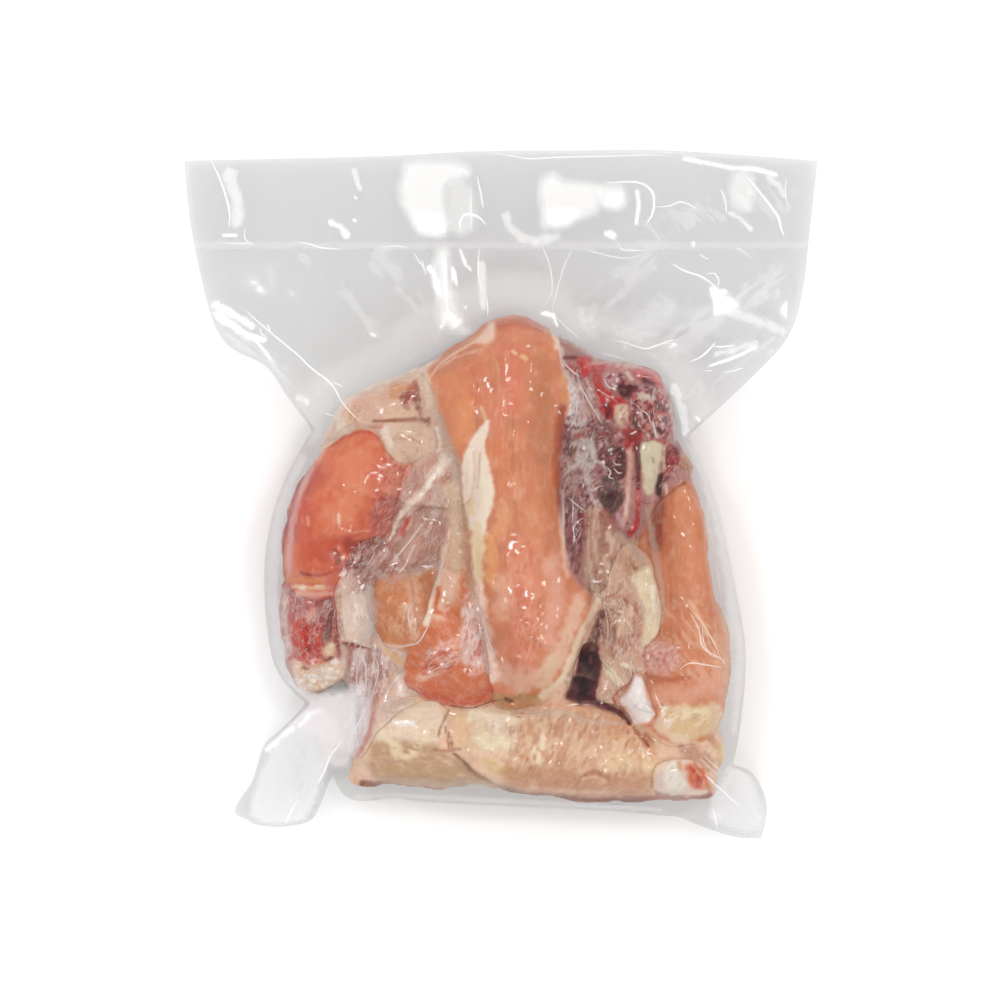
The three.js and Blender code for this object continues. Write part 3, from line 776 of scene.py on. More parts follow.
# The left breast: a round boned muscle at the left edge, bright orange pink with darker flanks.
left_outline = [(-77, 9.6), (-73, 14), (-69, 18), (-66, 20.5), (-63, 22.5), (-60, 24.5), (-56, 25.5),
                (-52, 25.5), (-48.5, 24), (-46, 18.5), (-42, 13.5), (-38, 12), (-34, 11), (-33.5, 6),
                (-30, -2), (-32, -14), (-40, -24), (-48, -34), (-64, -41), (-78, -41), (-85, -34),
                (-86.5, -24), (-85.5, -14), (-83.5, -3.4)]
left_marks = [
    ((186, 98, 80), 6, -0.6, 0.85, [(-74, 8), (-79, -4), (-82, -16)]),
    ((202, 106, 78), 6, -0.4, 0.8, [(-76, -6), (-76, -18)]),
    ((194, 98, 68), 6, -0.4, 0.75, [(-68, -18), (-76, -26)]),
    ((218, 138, 108), 10, 1.2, 0.85, [(-58, 15), (-58, 4), (-62, -10)]),
    ((207, 117, 82), 4, 0.2, 0.8, [(-66, 17), (-56, 21)]),
    ((202, 112, 88), 6, 0.3, 0.6, [(-54, -10), (-57, -18)]),
    ((206, 132, 112), -3.4, -0.2, 0.85, [(-44, 13), (-34, 10), (-34, 2), (-38, -6), (-45, -8), (-46, 2)]),
    ((178, 104, 96), -2.5, 0, 0.8, [(-50, -3), (-38, -2), (-44, -16), (-50, -20)]),
    ((150, 74, 70), -4, -0.4, 0.38, [(-46, 13), (-34, 10), (-36, -4), (-48, -20), (-51, -4)],
     (2.2, 0.9, 40, 0.30)),
    ((222, 160, 142), -4, 0.4, 0.6, [(-47, 13), (-34, 10), (-36, -4), (-48, -20), (-51, -4)],
     (2.4, 0.8, 65, 0.32)),
    ((222, 180, 166), (1.8, 1.4), 0.4, 0.85, [(-32.5, 9), (-32.6, 2), (-36, -5), (-41, -13), (-46, -21)]),
    ((140, 58, 44), 1.7, -0.8, 0.85, [(-65, -22), (-63.6, -27)]),
    ((156, 70, 54), 4.5, -0.8, 0.8, [(-60, -20), (-54, -21), (-49, -22)]),
    ((186, 88, 60), 1.0, -0.3, 0.8, [(-66, 19.4), (-62, 22), (-57, 24.2), (-52, 24.4), (-48.4, 22.6),
                                     (-46, 18), (-42.4, 13.4)]),
    ((206, 150, 144), 1.6, 0, 0.85, [(-74, 12), (-78.4, 1), (-81.4, -10), (-83, -22), (-83.6, -32)]),
    ((134, 72, 66), 0.6, -0.6, 0.75, [(-70, 19), (-75, 12), (-78.6, 5), (-81.6, -2), (-83.6, -10),
                                      (-85, -18), (-86, -28)]),
    ((206, 112, 78), 3.0, 0, 0.8, [(-78, -28), (-68, -29)]),
    ((150, 66, 52), 0.7, -0.9, 0.85, [(-78.5, -31), (-75, -31.8), (-71, -32), (-67, -31)]),
    ((204, 136, 92), 1.4, 0.2, 0.85, [(-85, -33.4), (-77, -34), (-69, -34.4)]),
    ((222, 184, 150), 1.2, 0.5, 0.85, [(-82, -36.4), (-75, -37), (-67, -37)]),
    ((220, 170, 156), 1.4, 0.2, 0.85, [(-80, -38.8), (-73, -39.4), (-66, -39)]),
    ((240, 214, 196), 2.2, 0.3, 0.7, [(-80, -36), (-67, -37)], (4.0, 0.5, 2, 0.35)),
    ((196, 116, 104), -2, 0.2, 0.8, [(-70, -26), (-60, -25), (-59, -38), (-69, -38)], (2.6, 0.8, 60, 0.6)),
    ((224, 182, 164), 1.8, 0.6, 0.85, [(-57.6, -24), (-54.4, -27)]),
    ((160, 88, 76), -2, 0.3, 0.88, [(-62, -28), (-52, -27), (-50, -36), (-60, -39)]),
    ((150, 68, 66), -2, -0.5, 0.75, [(-64, -24), (-52, -25), (-54, -38), (-64, -38)], (2.8, 0.8, 55, 0.34)),
    ((236, 208, 198), -2, 0.5, 0.42, [(-62, -26), (-51, -26), (-51, -38), (-62, -38)], (2.4, 0.7, 65, 0.32)),
    ((136, 56, 56), 0.7, -0.8, 0.8, [(-61, -35), (-56, -31), (-52, -26)]),
    ((186, 96, 70), 2.0, 0, 0.5, [(-62, -17), (-66, -20), (-70, -26)]),
    # Painted highlight: a white glint and its tail, where the film over the breast mirrors a lamp.
    ((240, 208, 188), (0.9, 0.6), 0.5, 0.8, [(-63.8, -8), (-63.4, -13.5)]),
    ((228, 168, 142), 0.45, 0.4, 0.75, [(-62, -14), (-58, -15.5), (-54, -14.5), (-52, -14.6)]),
    ((226, 162, 146), 1.0, 0.2, 0.75, [(-76, -9.4), (-75.6, -12)]),
]
round_muscle = flesh("round_muscle", grain=70.0, streak=0.16, mottle=0.26, sinew=0.06)
heap.lay("left_breast", left_outline, left_marks, (208, 120, 92), round_muscle,
         shoulder=4.5, lift=0.3, seed=41)

# The pale fold: soft fat and connective tissue squeezed down between the left trim, the
# tenderloin and the foot breast.
fold_outline = [(-65.5, -38), (-61, -30), (-56, -20), (-46, -17), (-34, -30), (-30, -60), (-30, -78),
                (-40, -86), (-49, -94), (-55, -103), (-61, -101), (-62.5, -90), (-62, -78), (-63, -66),
                (-64.5, -52)]
fold_marks = [
    ((136, 70, 60), -2, 0.2, 0.94, [(-60, -20), (-48, -16), (-43, -24), (-46, -30), (-58, -30)]),
    ((188, 150, 138), -2, 0.2, 0.85, [(-58, -30), (-46, -30), (-46, -42), (-58, -40)]),
    ((232, 208, 200), -2, 0.4, 0.6, [(-60, -22), (-46, -18), (-44, -30), (-48, -42), (-58, -40)],
     (3.0, 0.7, 60, 0.34)),
    ((150, 96, 98), -2, -0.4, 0.6, [(-58, -22), (-46, -20), (-45, -30), (-56, -38)], (2.6, 0.7, 58, 0.26)),
    ((186, 146, 122), 1.8, 0, 0.85, [(-63.6, -40), (-63.4, -47)]),
    ((218, 192, 174), -2.0, 1.2, 0.9, [(-61.5, -42), (-52, -38), (-51, -56), (-56, -58), (-61.5, -55)]),
    ((240, 226, 212), 3.0, 0.6, 0.7, [(-58, -42), (-56, -54)], (4.0, 1.1, 100, 0.4)),
    ((206, 170, 146), 3.0, -0.3, 0.55, [(-57, -42), (-55, -54)], (3.6, 0.9, 95, 0.3)),
    ((196, 172, 160), 0.9, 0, 0.8, [(-51.2, -44), (-50.6, -56)]),
    ((170, 122, 110), -2.0, 0, 0.9, [(-61, -60), (-50, -60), (-46, -66), (-49, -78), (-60, -77)]),
    ((226, 206, 202), -2, 0.4, 0.75, [(-61, -61), (-49, -60), (-42, -66), (-49, -80), (-61, -80)],
     (5.0, 0.9, 84, 0.42)),
    ((150, 96, 94), -2, -0.3, 0.55, [(-60, -60), (-48, -61), (-44, -70), (-50, -78), (-60, -74)],
     (3.2, 0.8, 80, 0.26)),
    ((220, 208, 208), -2.0, -0.3, 0.9, [(-62, -77), (-52, -76), (-51, -90), (-56, -101), (-62, -99)]),
    ((236, 226, 226), 3.0, 0.3, 0.75, [(-55, -78), (-57, -92), (-60, -99)], (6.0, 0.9, 70, 0.45)),
    ((202, 142, 116), 2.2, 0.3, 0.8, [(-44.5, -66), (-43, -76)], (2.2, 1.2, 60, 0.6)),
    ((138, 86, 70), 0.7, -0.4, 0.8, [(-44.8, -69.6), (-44.4, -71.6)]),
    ((214, 172, 128), 2.4, 0.2, 0.85, [(-44, -62), (-39, -66)]),
    ((240, 222, 214), 2.4, 0.5, 0.8, [(-40.5, -72), (-39, -78)], (2.0, 1.0, 70, 0.6)),
    ((196, 132, 120), (1.4, 1.6), -0.4, 0.85, [(-47.5, -74), (-49, -80), (-50.4, -86), (-51.4, -93),
                                              (-53.5, -98), (-56, -102)]),
    ((222, 178, 160), 1.0, 0.3, 0.7, [(-46.4, -76), (-48.6, -84), (-50.4, -94)], (4.0, 0.7, 78, 0.5)),
    ((132, 66, 54), (1.1, 0.5), -0.9, 0.9, [(-61.5, -58.6), (-58, -59), (-55, -60), (-51.5, -60.6)]),
    ((240, 220, 198), 0.6, 0.6, 0.9, [(-58, -57.6), (-55, -58.6), (-51, -60)]),
    ((232, 220, 216), 0.5, 0.5, 0.8, [(-54.4, -63), (-53.2, -68), (-53.2, -74), (-53.4, -82)]),
    ((230, 218, 214), 0.5, 0.4, 0.75, [(-53, -84), (-56, -91), (-60, -97)]),
]
loose_fat = flesh("loose_fat", grain=80.0, streak=0.12, mottle=0.40, sinew=0.45, gloss=0.34)
heap.lay("pale_fold", fold_outline, fold_marks, (214, 182, 166), loose_fat,
         shoulder=3.0, seed=47)

# The rib cage: the bony side of the middle breast, turned up. Dark blood, purple lung lining,
# white membrane and the ends of cut ribs lie over each other here.
rib_outline = [(6, 58), (20, 63), (26, 61.5), (31, 59), (34, 57), (38, 54.6), (45, 53), (50, 52.2),
               (56, 51), (60.5, 48.6), (64, 44.6), (66, 40.5), (67.6, 36), (68.5, 31), (69, 26),
               (70, 21.5), (72, 18.5), (75, 14), (77.5, 10), (72, 4), (65, 0), (60, -8), (54, -20),
               (48, -30), (46, -42), (42, -52), (30, -62), (14, -62), (4, -44), (2, 0), (2, 40)]
dark_blood = (78, 26, 34)
rib_cream = (228, 206, 188)
bone_cream = (222, 206, 176)
outer_ribs = [(50.8, 39), (60, 42), (67, 36.6), (68, 24), (58, 21), (51, 24)]
inner_ribs = [(24, 28), (36, 30), (46, 27), (48.6, 16), (48, 0), (40, -5), (25, -4)]
blood_strip = [(25.4, -2), (31, -3), (32.6, -14), (31, -29), (26.4, -29)]
rib_marks = [
    ((190, 128, 100), 2.2, 0.2, 0.85, [(26.5, 58.5), (31, 57)]),
    ((222, 200, 186), 1.6, 0.4, 0.85, [(23.5, 57), (24.6, 50), (26.4, 44)]),
    ((130, 50, 52), 1.2, -0.6, 0.9, [(25, 53.4), (29, 53.6)]),
    ((226, 150, 138), 3.6, 0, 0.8, [(36, 51), (50, 50.4), (60, 47)]),
    ((236, 204, 190), 2.4, 0, 0.8, [(29, 59.6), (37, 54.6), (48, 52.2), (58, 49.4)]),
    ((190, 84, 84), 2.4, 0, 0.85, [(26, 50), (30.5, 47)], (1.8, 0.9, 30, 0.6)),
    ((206, 76, 72), 0, 0.6, 0.95, [(30, 53), (33, 54.6), (35.6, 53.6), (36.2, 50), (34, 45.6), (31.6, 46),
                                   (31, 49)]),
    ((226, 124, 96), 0.9, 0.4, 0.8, [(33.8, 51.8), (33.6, 50)]),
    ((218, 176, 162), 2.2, 0.3, 0.85, [(36, 50.6), (44, 51), (52, 50.4), (58, 48.6)]),
    ((206, 86, 80), 2.4, 0.2, 0.8, [(37, 50), (46, 50.6), (57, 48.6)], (2.4, 0.9, 0, 0.42)),
    ((196, 96, 92), -0.6, 0, 0.85, [(36, 49), (41, 49.6), (40.6, 43), (36.4, 42.6)]),
    ((204, 140, 140), -0.4, 1.0, 0.9, [(40, 47.6), (44, 48.6), (48.4, 47), (48.6, 42.5), (44, 40.6), (40.4,
     42)]),
    ((240, 228, 224), 2.6, 0.7, 0.85, [(41, 46), (44, 42.6), (46, 45)], (2.0, 0.7, 120, 0.45)),
    ((120, 34, 44), 2.6, -0.3, 0.85, [(42, 47), (45, 43), (47.6, 45)], (1.6, 0.7, 60, 0.28)),
    ((122, 44, 52), 0.9, -0.3, 0.9, [(46.8, 46.8), (48, 43)]),
    (rib_cream, 1.2, 0.5, 0.9, [(49.6, 47.4), (51.6, 44.6)]),
    ((212, 80, 76), 3.2, 0.9, 0.92, [(53.4, 47.6), (58, 47), (62, 44)]),
    ((96, 28, 34), 1.6, -0.8, 0.92, [(56.4, 44.4), (59.4, 43.4)]),
    ((226, 150, 130), 2.2, 0.4, 0.7, [(53.6, 48), (60, 46.4), (63, 42)], (1.8, 0.7, 150, 0.35)),
    ((206, 76, 70), 1.0, 0.5, 0.9, [(62.6, 44.6), (64.6, 40), (66.4, 34)], (2.2, 1.0, 110, 0.65)),
    ((220, 142, 110), 1.0, 0.4, 0.8, [(58.5, 41), (63, 40.4)]),
    ((100, 28, 36), -0.2, -0.9, 0.97, [(45.6, 42), (49, 43), (53.8, 42), (54, 38.4), (48, 37.4)]),
    ((200, 62, 58), 0, 0.8, 0.95, [(36.8, 43.6), (41, 41), (45, 38.6), (50.4, 35.8), (46, 34.6), (42.6, 29.6),
                                   (40, 31.6), (38, 37)]),
    ((130, 36, 42), 2.4, -0.5, 0.85, [(42, 35.4), (42, 32), (43, 30)], (2.2, 1.0, 80, 0.62)),
    ((232, 132, 112), 3.0, 0.4, 0.7, [(38.6, 41), (43, 37), (47, 36.4)], (1.6, 0.6, 140, 0.34)),
    ((224, 190, 162), -0.5, 0.9, 0.95, [(45, 35), (50, 34.4), (50.6, 27.6), (46, 26.8), (44.6, 30)]),
    ((240, 220, 196), 1.8, 0.5, 0.75, [(47.4, 33), (47.4, 28)], (2.4, 0.9, 80, 0.45)),
    ((170, 104, 98), 2.2, -0.4, 0.6, [(46.6, 34), (48.6, 28)], (1.5, 0.7, 60, 0.3)),
    ((200, 128, 116), -0.8, 0, 0.9, outer_ribs),
    ((226, 206, 202), -0.8, 0.6, 0.8, outer_ribs, (2.6, 0.8, 115, 0.34)),
    ((100, 48, 58), -0.8, -0.6, 0.85, outer_ribs, (1.7, 0.9, 60, 0.30)),
    ((188, 84, 84), -0.8, 0, 0.7, outer_ribs, (1.8, 1.0, 20, 0.22)),
    ((228, 208, 190), 1.6, 0.6, 0.9, [(54.6, 38.6), (59.4, 37.6)]),
    ((96, 44, 54), 1.3, -0.7, 0.9, [(61, 36), (64, 33)], (1.8, 1.0, 120, 0.6)),
    ((90, 40, 50), 1.0, -0.7, 0.9, [(52.4, 31), (53, 26)]),
    ((78, 38, 46), 1.0, -0.7, 0.9, [(61, 26), (63, 24.2)]),
    ((240, 226, 220), 0.5, 0.6, 0.9, [(59.3, 28.6), (60.8, 22.6)]),
    ((228, 202, 186), 0.9, 0.5, 0.85, [(63.4, 45), (66.6, 37), (68, 28.6), (68.4, 21)]),
    ((160, 50, 54), -0.6, -0.2, 0.92, [(47.8, 24.8), (54.6, 24.6), (54.4, 17.6), (48.6, 17.8)]),
    ((212, 104, 96), 2.8, 0.5, 0.8, [(49, 23), (52, 19)], (1.8, 0.8, 70, 0.42)),
    ((80, 28, 36), 2.6, -0.5, 0.8, [(51, 23), (53, 19)], (1.6, 0.8, 90, 0.30)),
    ((190, 78, 70), 1.0, 0.3, 0.9, [(58.6, 21.2), (63, 20.4), (67.6, 18.8)]),
    ((184, 138, 130), -1.0, -0.2, 0.88, inner_ribs),
    ((236, 222, 216), -2.4, 1.0, 0.97, [(25.8, 44), (30.6, 43), (33, 34), (32.6, 26), (26, 25)]),
    ((246, 238, 236), 3.0, 0.6, 0.9, [(27.6, 42), (29.4, 34), (29, 25)], (3.4, 1.0, 85, 0.6)),
    ((176, 124, 122), 2.6, -0.3, 0.5, [(28, 44), (30, 36), (29, 29)], (2.2, 0.7, 75, 0.3)),
    ((206, 160, 150), -1.4, 0, 0.8, [(31, 44), (36, 42), (38, 32), (33, 28), (30.6, 32)]),
    ((228, 204, 196), -1.4, 0.4, 0.75, [(30, 47), (36, 43), (40, 30), (34, 26), (30, 32)], (4.0, 0.7, 112,
     0.4)),
    ((150, 96, 94), -1.4, -0.3, 0.6, [(30, 46), (36, 42), (39, 30), (34, 27)], (2.6, 0.8, 100, 0.28)),
    ((150, 106, 100), -1.4, -0.3, 0.8, [(36, 26.6), (43, 27), (44, 19), (40, 15), (36, 16)]),
    ((222, 202, 196), -1.0, 0.5, 0.75, inner_ribs, (2.4, 0.7, 35, 0.30)),
    ((116, 62, 66), -1.0, -0.5, 0.75, inner_ribs, (1.7, 0.9, 80, 0.27)),
    ((188, 92, 90), -1.0, 0, 0.65, inner_ribs, (1.6, 0.9, 140, 0.22)),
    ((84, 52, 72), 2.4, -0.5, 0.7, [(26, 24), (26, 16)], (2.0, 0.9, 95, 0.45)),
    ((206, 172, 160), 4.0, 0, 0.7, [(28, 14), (27, 0)], (2.6, 1.0, 60, 0.55)),
    ((196, 96, 94), 1.6, 0.3, 0.85, [(30.4, 22.6), (33, 22.6)]),
    ((104, 40, 46), -0.4, -0.5, 0.9, [(42.6, 17.6), (48.8, 17), (48.8, 7), (42, 6.6)]),
    ((200, 150, 146), 3.0, 0.5, 0.8, [(43, 16), (46, 12), (45.6, 8)], (2.0, 0.6, 30, 0.36)),
    ((110, 92, 88), -0.4, -0.6, 0.9, [(39.6, 6.4), (45.4, 6.2), (45.6, 1), (40.2, 1)]),
    ((72, 26, 36), -0.2, -1.3, 0.97, [(38.2, 0.4), (48, -0.4), (46, -6), (44, -9), (42, -8.4), (40.2, -4.6)]),
    ((178, 120, 120), 3.0, 0.4, 0.7, [(40, 5), (44, 1), (44, -5)], (1.7, 0.6, 50, 0.30)),
    ((232, 220, 214), -0.4, 0.6, 0.95, [(30, 20), (32.4, 22), (36, 21), (37, 15), (36.4, 11), (33.6, 9),
                                        (30, 10.6), (29.4, 15)]),
    ((228, 212, 206), (1.5, 0.6), 0.5, 0.9, [(34, 18), (36.4, 24)]),
    ((228, 212, 206), (1.5, 0.5), 0.5, 0.9, [(31, 18), (28, 20)]),
    ((228, 212, 206), (1.5, 0.4), 0.5, 0.85, [(31, 12), (27, 10), (24, 6)]),
    ((228, 210, 202), (1.8, 0.8), 0.5, 0.9, [(33, 11), (34.4, 5), (35.4, -1), (37.6, -6)]),
    ((228, 210, 202), (1.2, 0.4), 0.5, 0.85, [(35.6, 14), (39.6, 12), (42, 9)]),
    ((170, 118, 116), 3.4, -0.3, 0.6, [(32, 18), (33.6, 12)], (1.7, 0.7, 60, 0.30)),
    ((230, 210, 204), -1, 0.4, 0.75, [(24, 9), (36, 8), (35, -9), (24.6, -8)], (2.2, 0.5, 45, 0.30)),
    (bone_cream, 0, 1.2, 0.97, [(54.4, 19), (58, 21), (63, 20), (63, 14), (62, 8), (60, 3), (58.4, -0.6),
                                (56.4, 0.6), (55, 9)]),
    ((238, 226, 202), 1.8, 0.4, 0.7, [(58, 18), (58.6, 6)], (3.0, 1.0, 85, 0.45)),
    ((176, 158, 134), 0.9, -0.2, 0.85, [(59.3, 14), (59.8, 12.6)]),
    ((136, 46, 56), -0.3, -0.3, 0.95, [(64.6, 19), (69.8, 18.6), (70, 13), (66.6, 9.6), (64.6, 12.6)]),
    ((224, 196, 178), 2.8, 0.6, 0.8, [(65, 18), (68, 14), (66.6, 10)], (2.2, 0.6, 70, 0.34)),
    ((196, 60, 60), 2.2, 0, 0.7, [(66, 17), (68, 12)], (1.7, 0.8, 40, 0.36)),
    ((222, 198, 174), 0.8, 0.6, 0.85, [(64.2, 18), (63.8, 12.6), (64.4, 8.6)]),
    ((176, 92, 86), 1.7, 0, 0.9, [(66, 9.4), (63.6, 6)]),
    ((192, 136, 100), 0, 0.2, 0.85, [(71, 19), (74, 16), (77, 10.5), (73, 8.6), (70.4, 13)]),
    (dark_blood, (1.5, 1.2), -1.3, 0.97, [(63, 7), (61.8, 3), (62.2, -0.6)]),
    ((228, 196, 174), 0.9, 0.7, 0.9, [(64.6, 3.4), (65.2, 0), (63.8, -2.6)]),
    ((204, 154, 138), 1.6, 0.3, 0.85, [(59.6, -1.4), (58.4, -6)]),
    ((220, 166, 150), (1.9, 1.5), 0.9, 0.95, [(50.2, 17), (50.2, 8), (49.8, 0), (49, -8), (47.8, -13)]),
    ((240, 212, 200), 1.2, 0.4, 0.75, [(50, 16), (50, 4), (48.8, -8)], (4.0, 0.6, 92, 0.5)),
    ((112, 40, 46), (1.3, 1.2), -0.7, 0.95, [(53.4, 17), (54, 10), (53.8, 1.6)]),
    ((176, 72, 70), 1.3, 0, 0.95, [(54, 1), (53.6, -7), (53, -13)]),
    ((224, 150, 140), 1.2, 0.3, 0.75, [(54, 4), (53.6, -6), (52.4, -13)], (2.0, 0.6, 80, 0.42)),
    ((198, 50, 52), (1.0, 1.6), 0.3, 0.95, [(53.4, -10.6), (52, -13.6), (50.6, -16)]),
    # Painted highlight on the bright red spot.
    ((240, 160, 152), 0.5, 0.5, 0.8, [(52, -12.4), (51.2, -14.4)]),
    ((196, 162, 164), 1.8, 0.5, 0.9, [(45.6, -8), (47, -12.6)]),
    ((150, 92, 98), (1.6, 0.9), -0.2, 0.85, [(44, -8), (44.6, -13), (44, -17)]),
    ((164, 106, 106), -0.6, -0.5, 0.92, blood_strip),
    ((220, 190, 188), -0.6, 0.5, 0.75, blood_strip, (3.4, 0.6, 88, 0.34)),
    ((96, 40, 52), -0.6, -0.5, 0.75, blood_strip, (2.2, 0.8, 95, 0.32)),
    ((160, 44, 56), 1.5, 0.2, 0.9, [(31.6, -8), (31.4, -12.4)], (2.0, 1.2, 80, 0.7)),
    ((228, 214, 206), 0.8, 0.5, 0.9, [(24.3, 0), (24.5, -14), (25, -29)]),
    ((196, 146, 136), 2.0, 0, 0.85, [(26, -34), (28.6, -37)]),
    ((196, 152, 128), -2.5, 0.3, 0.92, [(34, -5), (40, -6), (46, -16), (50, -18), (54, -20), (52, -28),
                                        (48, -34), (44, -44), (34, -46), (32.4, -30), (33, -14)]),
    ((226, 196, 174), -2.5, 0.7, 0.6, [(34, -5), (44, -12), (52, -20), (48, -34), (42, -46), (34, -46)],
     (11.0, 1.9, 88, 0.46)),
    ((176, 126, 106), -2.5, -0.5, 0.45, [(33, -8), (44, -14), (50, -22), (46, -38), (40, -46), (34, -46)],
     (10.0, 1.7, 86, 0.34)),
    ((206, 172, 142), 2.6, 0.3, 0.8, [(52, -19), (57, -22)]),
    ((170, 114, 100), 3.6, -0.4, 0.8, [(41, -9), (46, -15), (49, -18)]),
    ((216, 156, 138), 2.0, 0, 0.7, [(46, -18), (49, -19)]),
    ((146, 96, 84), (0.8, 1.6), -0.6, 0.8, [(34.6, -32), (35.4, -42), (34, -54)]),
]


def blood_and_membrane(name):
    """The lining of the ribs: the brushed colour, broken up into crisp red, cream and dark
    flecks where it is red."""
    r = Recipe(name)
    tone = r.brushed("tone").outputs["Color"]
    parts = r.node("ShaderNodeSeparateColor", None, {0: tone})
    green, blue = (Value(r, parts.outputs[k]) for k in (1, 2))
    bloody = (green + blue).ramp(0.70, 0.30)
    blotch = r.noise(2.6, 6.0, roughness=0.75)
    fleck = r.noise(1.3, 5.0, r.stretched(65.0, 1.6, 1.0), 0.75)
    dark = r.mix(1.0, tone, (0.52, 0.34, 0.36, 1.0), "MULTIPLY")
    pale = r.mix(0.60, tone, (0.70, 0.56, 0.50, 1.0))
    colour = r.mix(blotch.ramp(0.52, 0.62) * (bloody * 0.7 + 0.12), tone, dark)
    colour = r.mix(fleck.ramp(0.56, 0.66) * (bloody * 0.5 + 0.22), colour, pale)
    r.feed(Base_Color=colour, Roughness=0.34, Normal=r.bump(blotch * 1.2 + fleck * 0.9, 0.8))
    r.shader.inputs["Specular IOR Level"].default_value = 0.2
    return r.material


rib_lining = blood_and_membrane("rib_lining")
heap.lay("rib_cage", rib_outline, rib_marks, (184, 136, 128), rib_lining,
         shoulder=3.5, lumps=1.3, seed=53)

# The web: a thin tan membrane stretched over the hollow between the left and middle breasts.
web_outline = [(-38, 8), (-32, 13), (-24, 18), (-10, 18), (0, 8), (2, -20), (0, -44), (-12, -60),
               (-30, -56), (-44, -46), (-52, -34), (-50, -24), (-45, -18), (-42, -8)]
web_marks = [
    ((180, 134, 118), 8, -0.6, 0.8, [(-30, 2), (-26, -8), (-28, -26), (-34, -32)]),
    ((156, 100, 86), 5, -0.4, 0.88, [(-40, -8), (-43, -16), (-46, -23)]),
    ((214, 184, 172), 8, 0.4, 0.45, [(-26, -6), (-28, -24), (-36, -32)], (8.0, 2.0, 62, 0.4)),
    ((160, 108, 98), 8, -0.4, 0.4, [(-26, -6), (-28, -24), (-36, -30)], (7.0, 1.8, 60, 0.3)),
    ((192, 136, 108), 3, -0.4, 0.7, [(-22, 6), (-20, -2)]),
    ((204, 180, 168), 3.5, 0, 0.6, [(-24, 2), (-26, -8)]),
    ((180, 80, 65), (1.0, 1.8), -0.5, 0.85, [(-35.6, -9), (-37.4, -12), (-39, -15.6)]),
    ((160, 106, 94), -2.0, 0.1, 0.9, [(-52, -24), (-45, -18), (-40, -28), (-44, -40), (-52, -36)]),
    ((226, 196, 184), -2.0, 0.4, 0.5, [(-52, -24), (-44, -18), (-39, -28), (-44, -40), (-52, -36)],
     (4.0, 0.7, 58, 0.4)),
    ((226, 206, 188), (3.6, 1.0), 0.9, 0.92, [(-21, 14), (-27.4, 6.4), (-31, 0), (-37, -5),
                                              (-41.3, -11.3), (-44, -18.5)]),
    ((240, 226, 210), 1.3, 0.4, 0.8, [(-24, 10), (-29, 3)]),
    ((206, 168, 148), 0.5, -0.4, 0.7, [(-25.6, 10.6), (-30.6, 3.4), (-34.6, -2)]),
    ((236, 220, 208), 0.6, 0.6, 0.85, [(-30.8, -11.8), (-34, -16), (-37, -20), (-41.8, -25.7)]),
    ((232, 214, 202), 0.5, 0.5, 0.8, [(-34, -20.4), (-38, -29), (-40.3, -30.4)]),
    ((236, 216, 194), (1.4, 1.9), 0.8, 0.9, [(-20, -14), (-22.6, -24), (-24.6, -34), (-27, -42), (-29, -51)]),
    ((214, 168, 134), 2.6, 0.3, 0.8, [(-17, -18), (-17.6, -34)]),
    ((236, 204, 178), 4.0, 0.2, 0.9, [(-19.4, 2), (-18.6, -10), (-19, -20)]),
]
thin_web = flesh("thin_web", grain=60.0, streak=0.12, mottle=0.35, sinew=0.40, gloss=0.32)
heap.lay("web", web_outline, web_marks, (196, 154, 138), thin_web, shoulder=3.0,
         thin=1.4, lift=-0.6, seed=59)

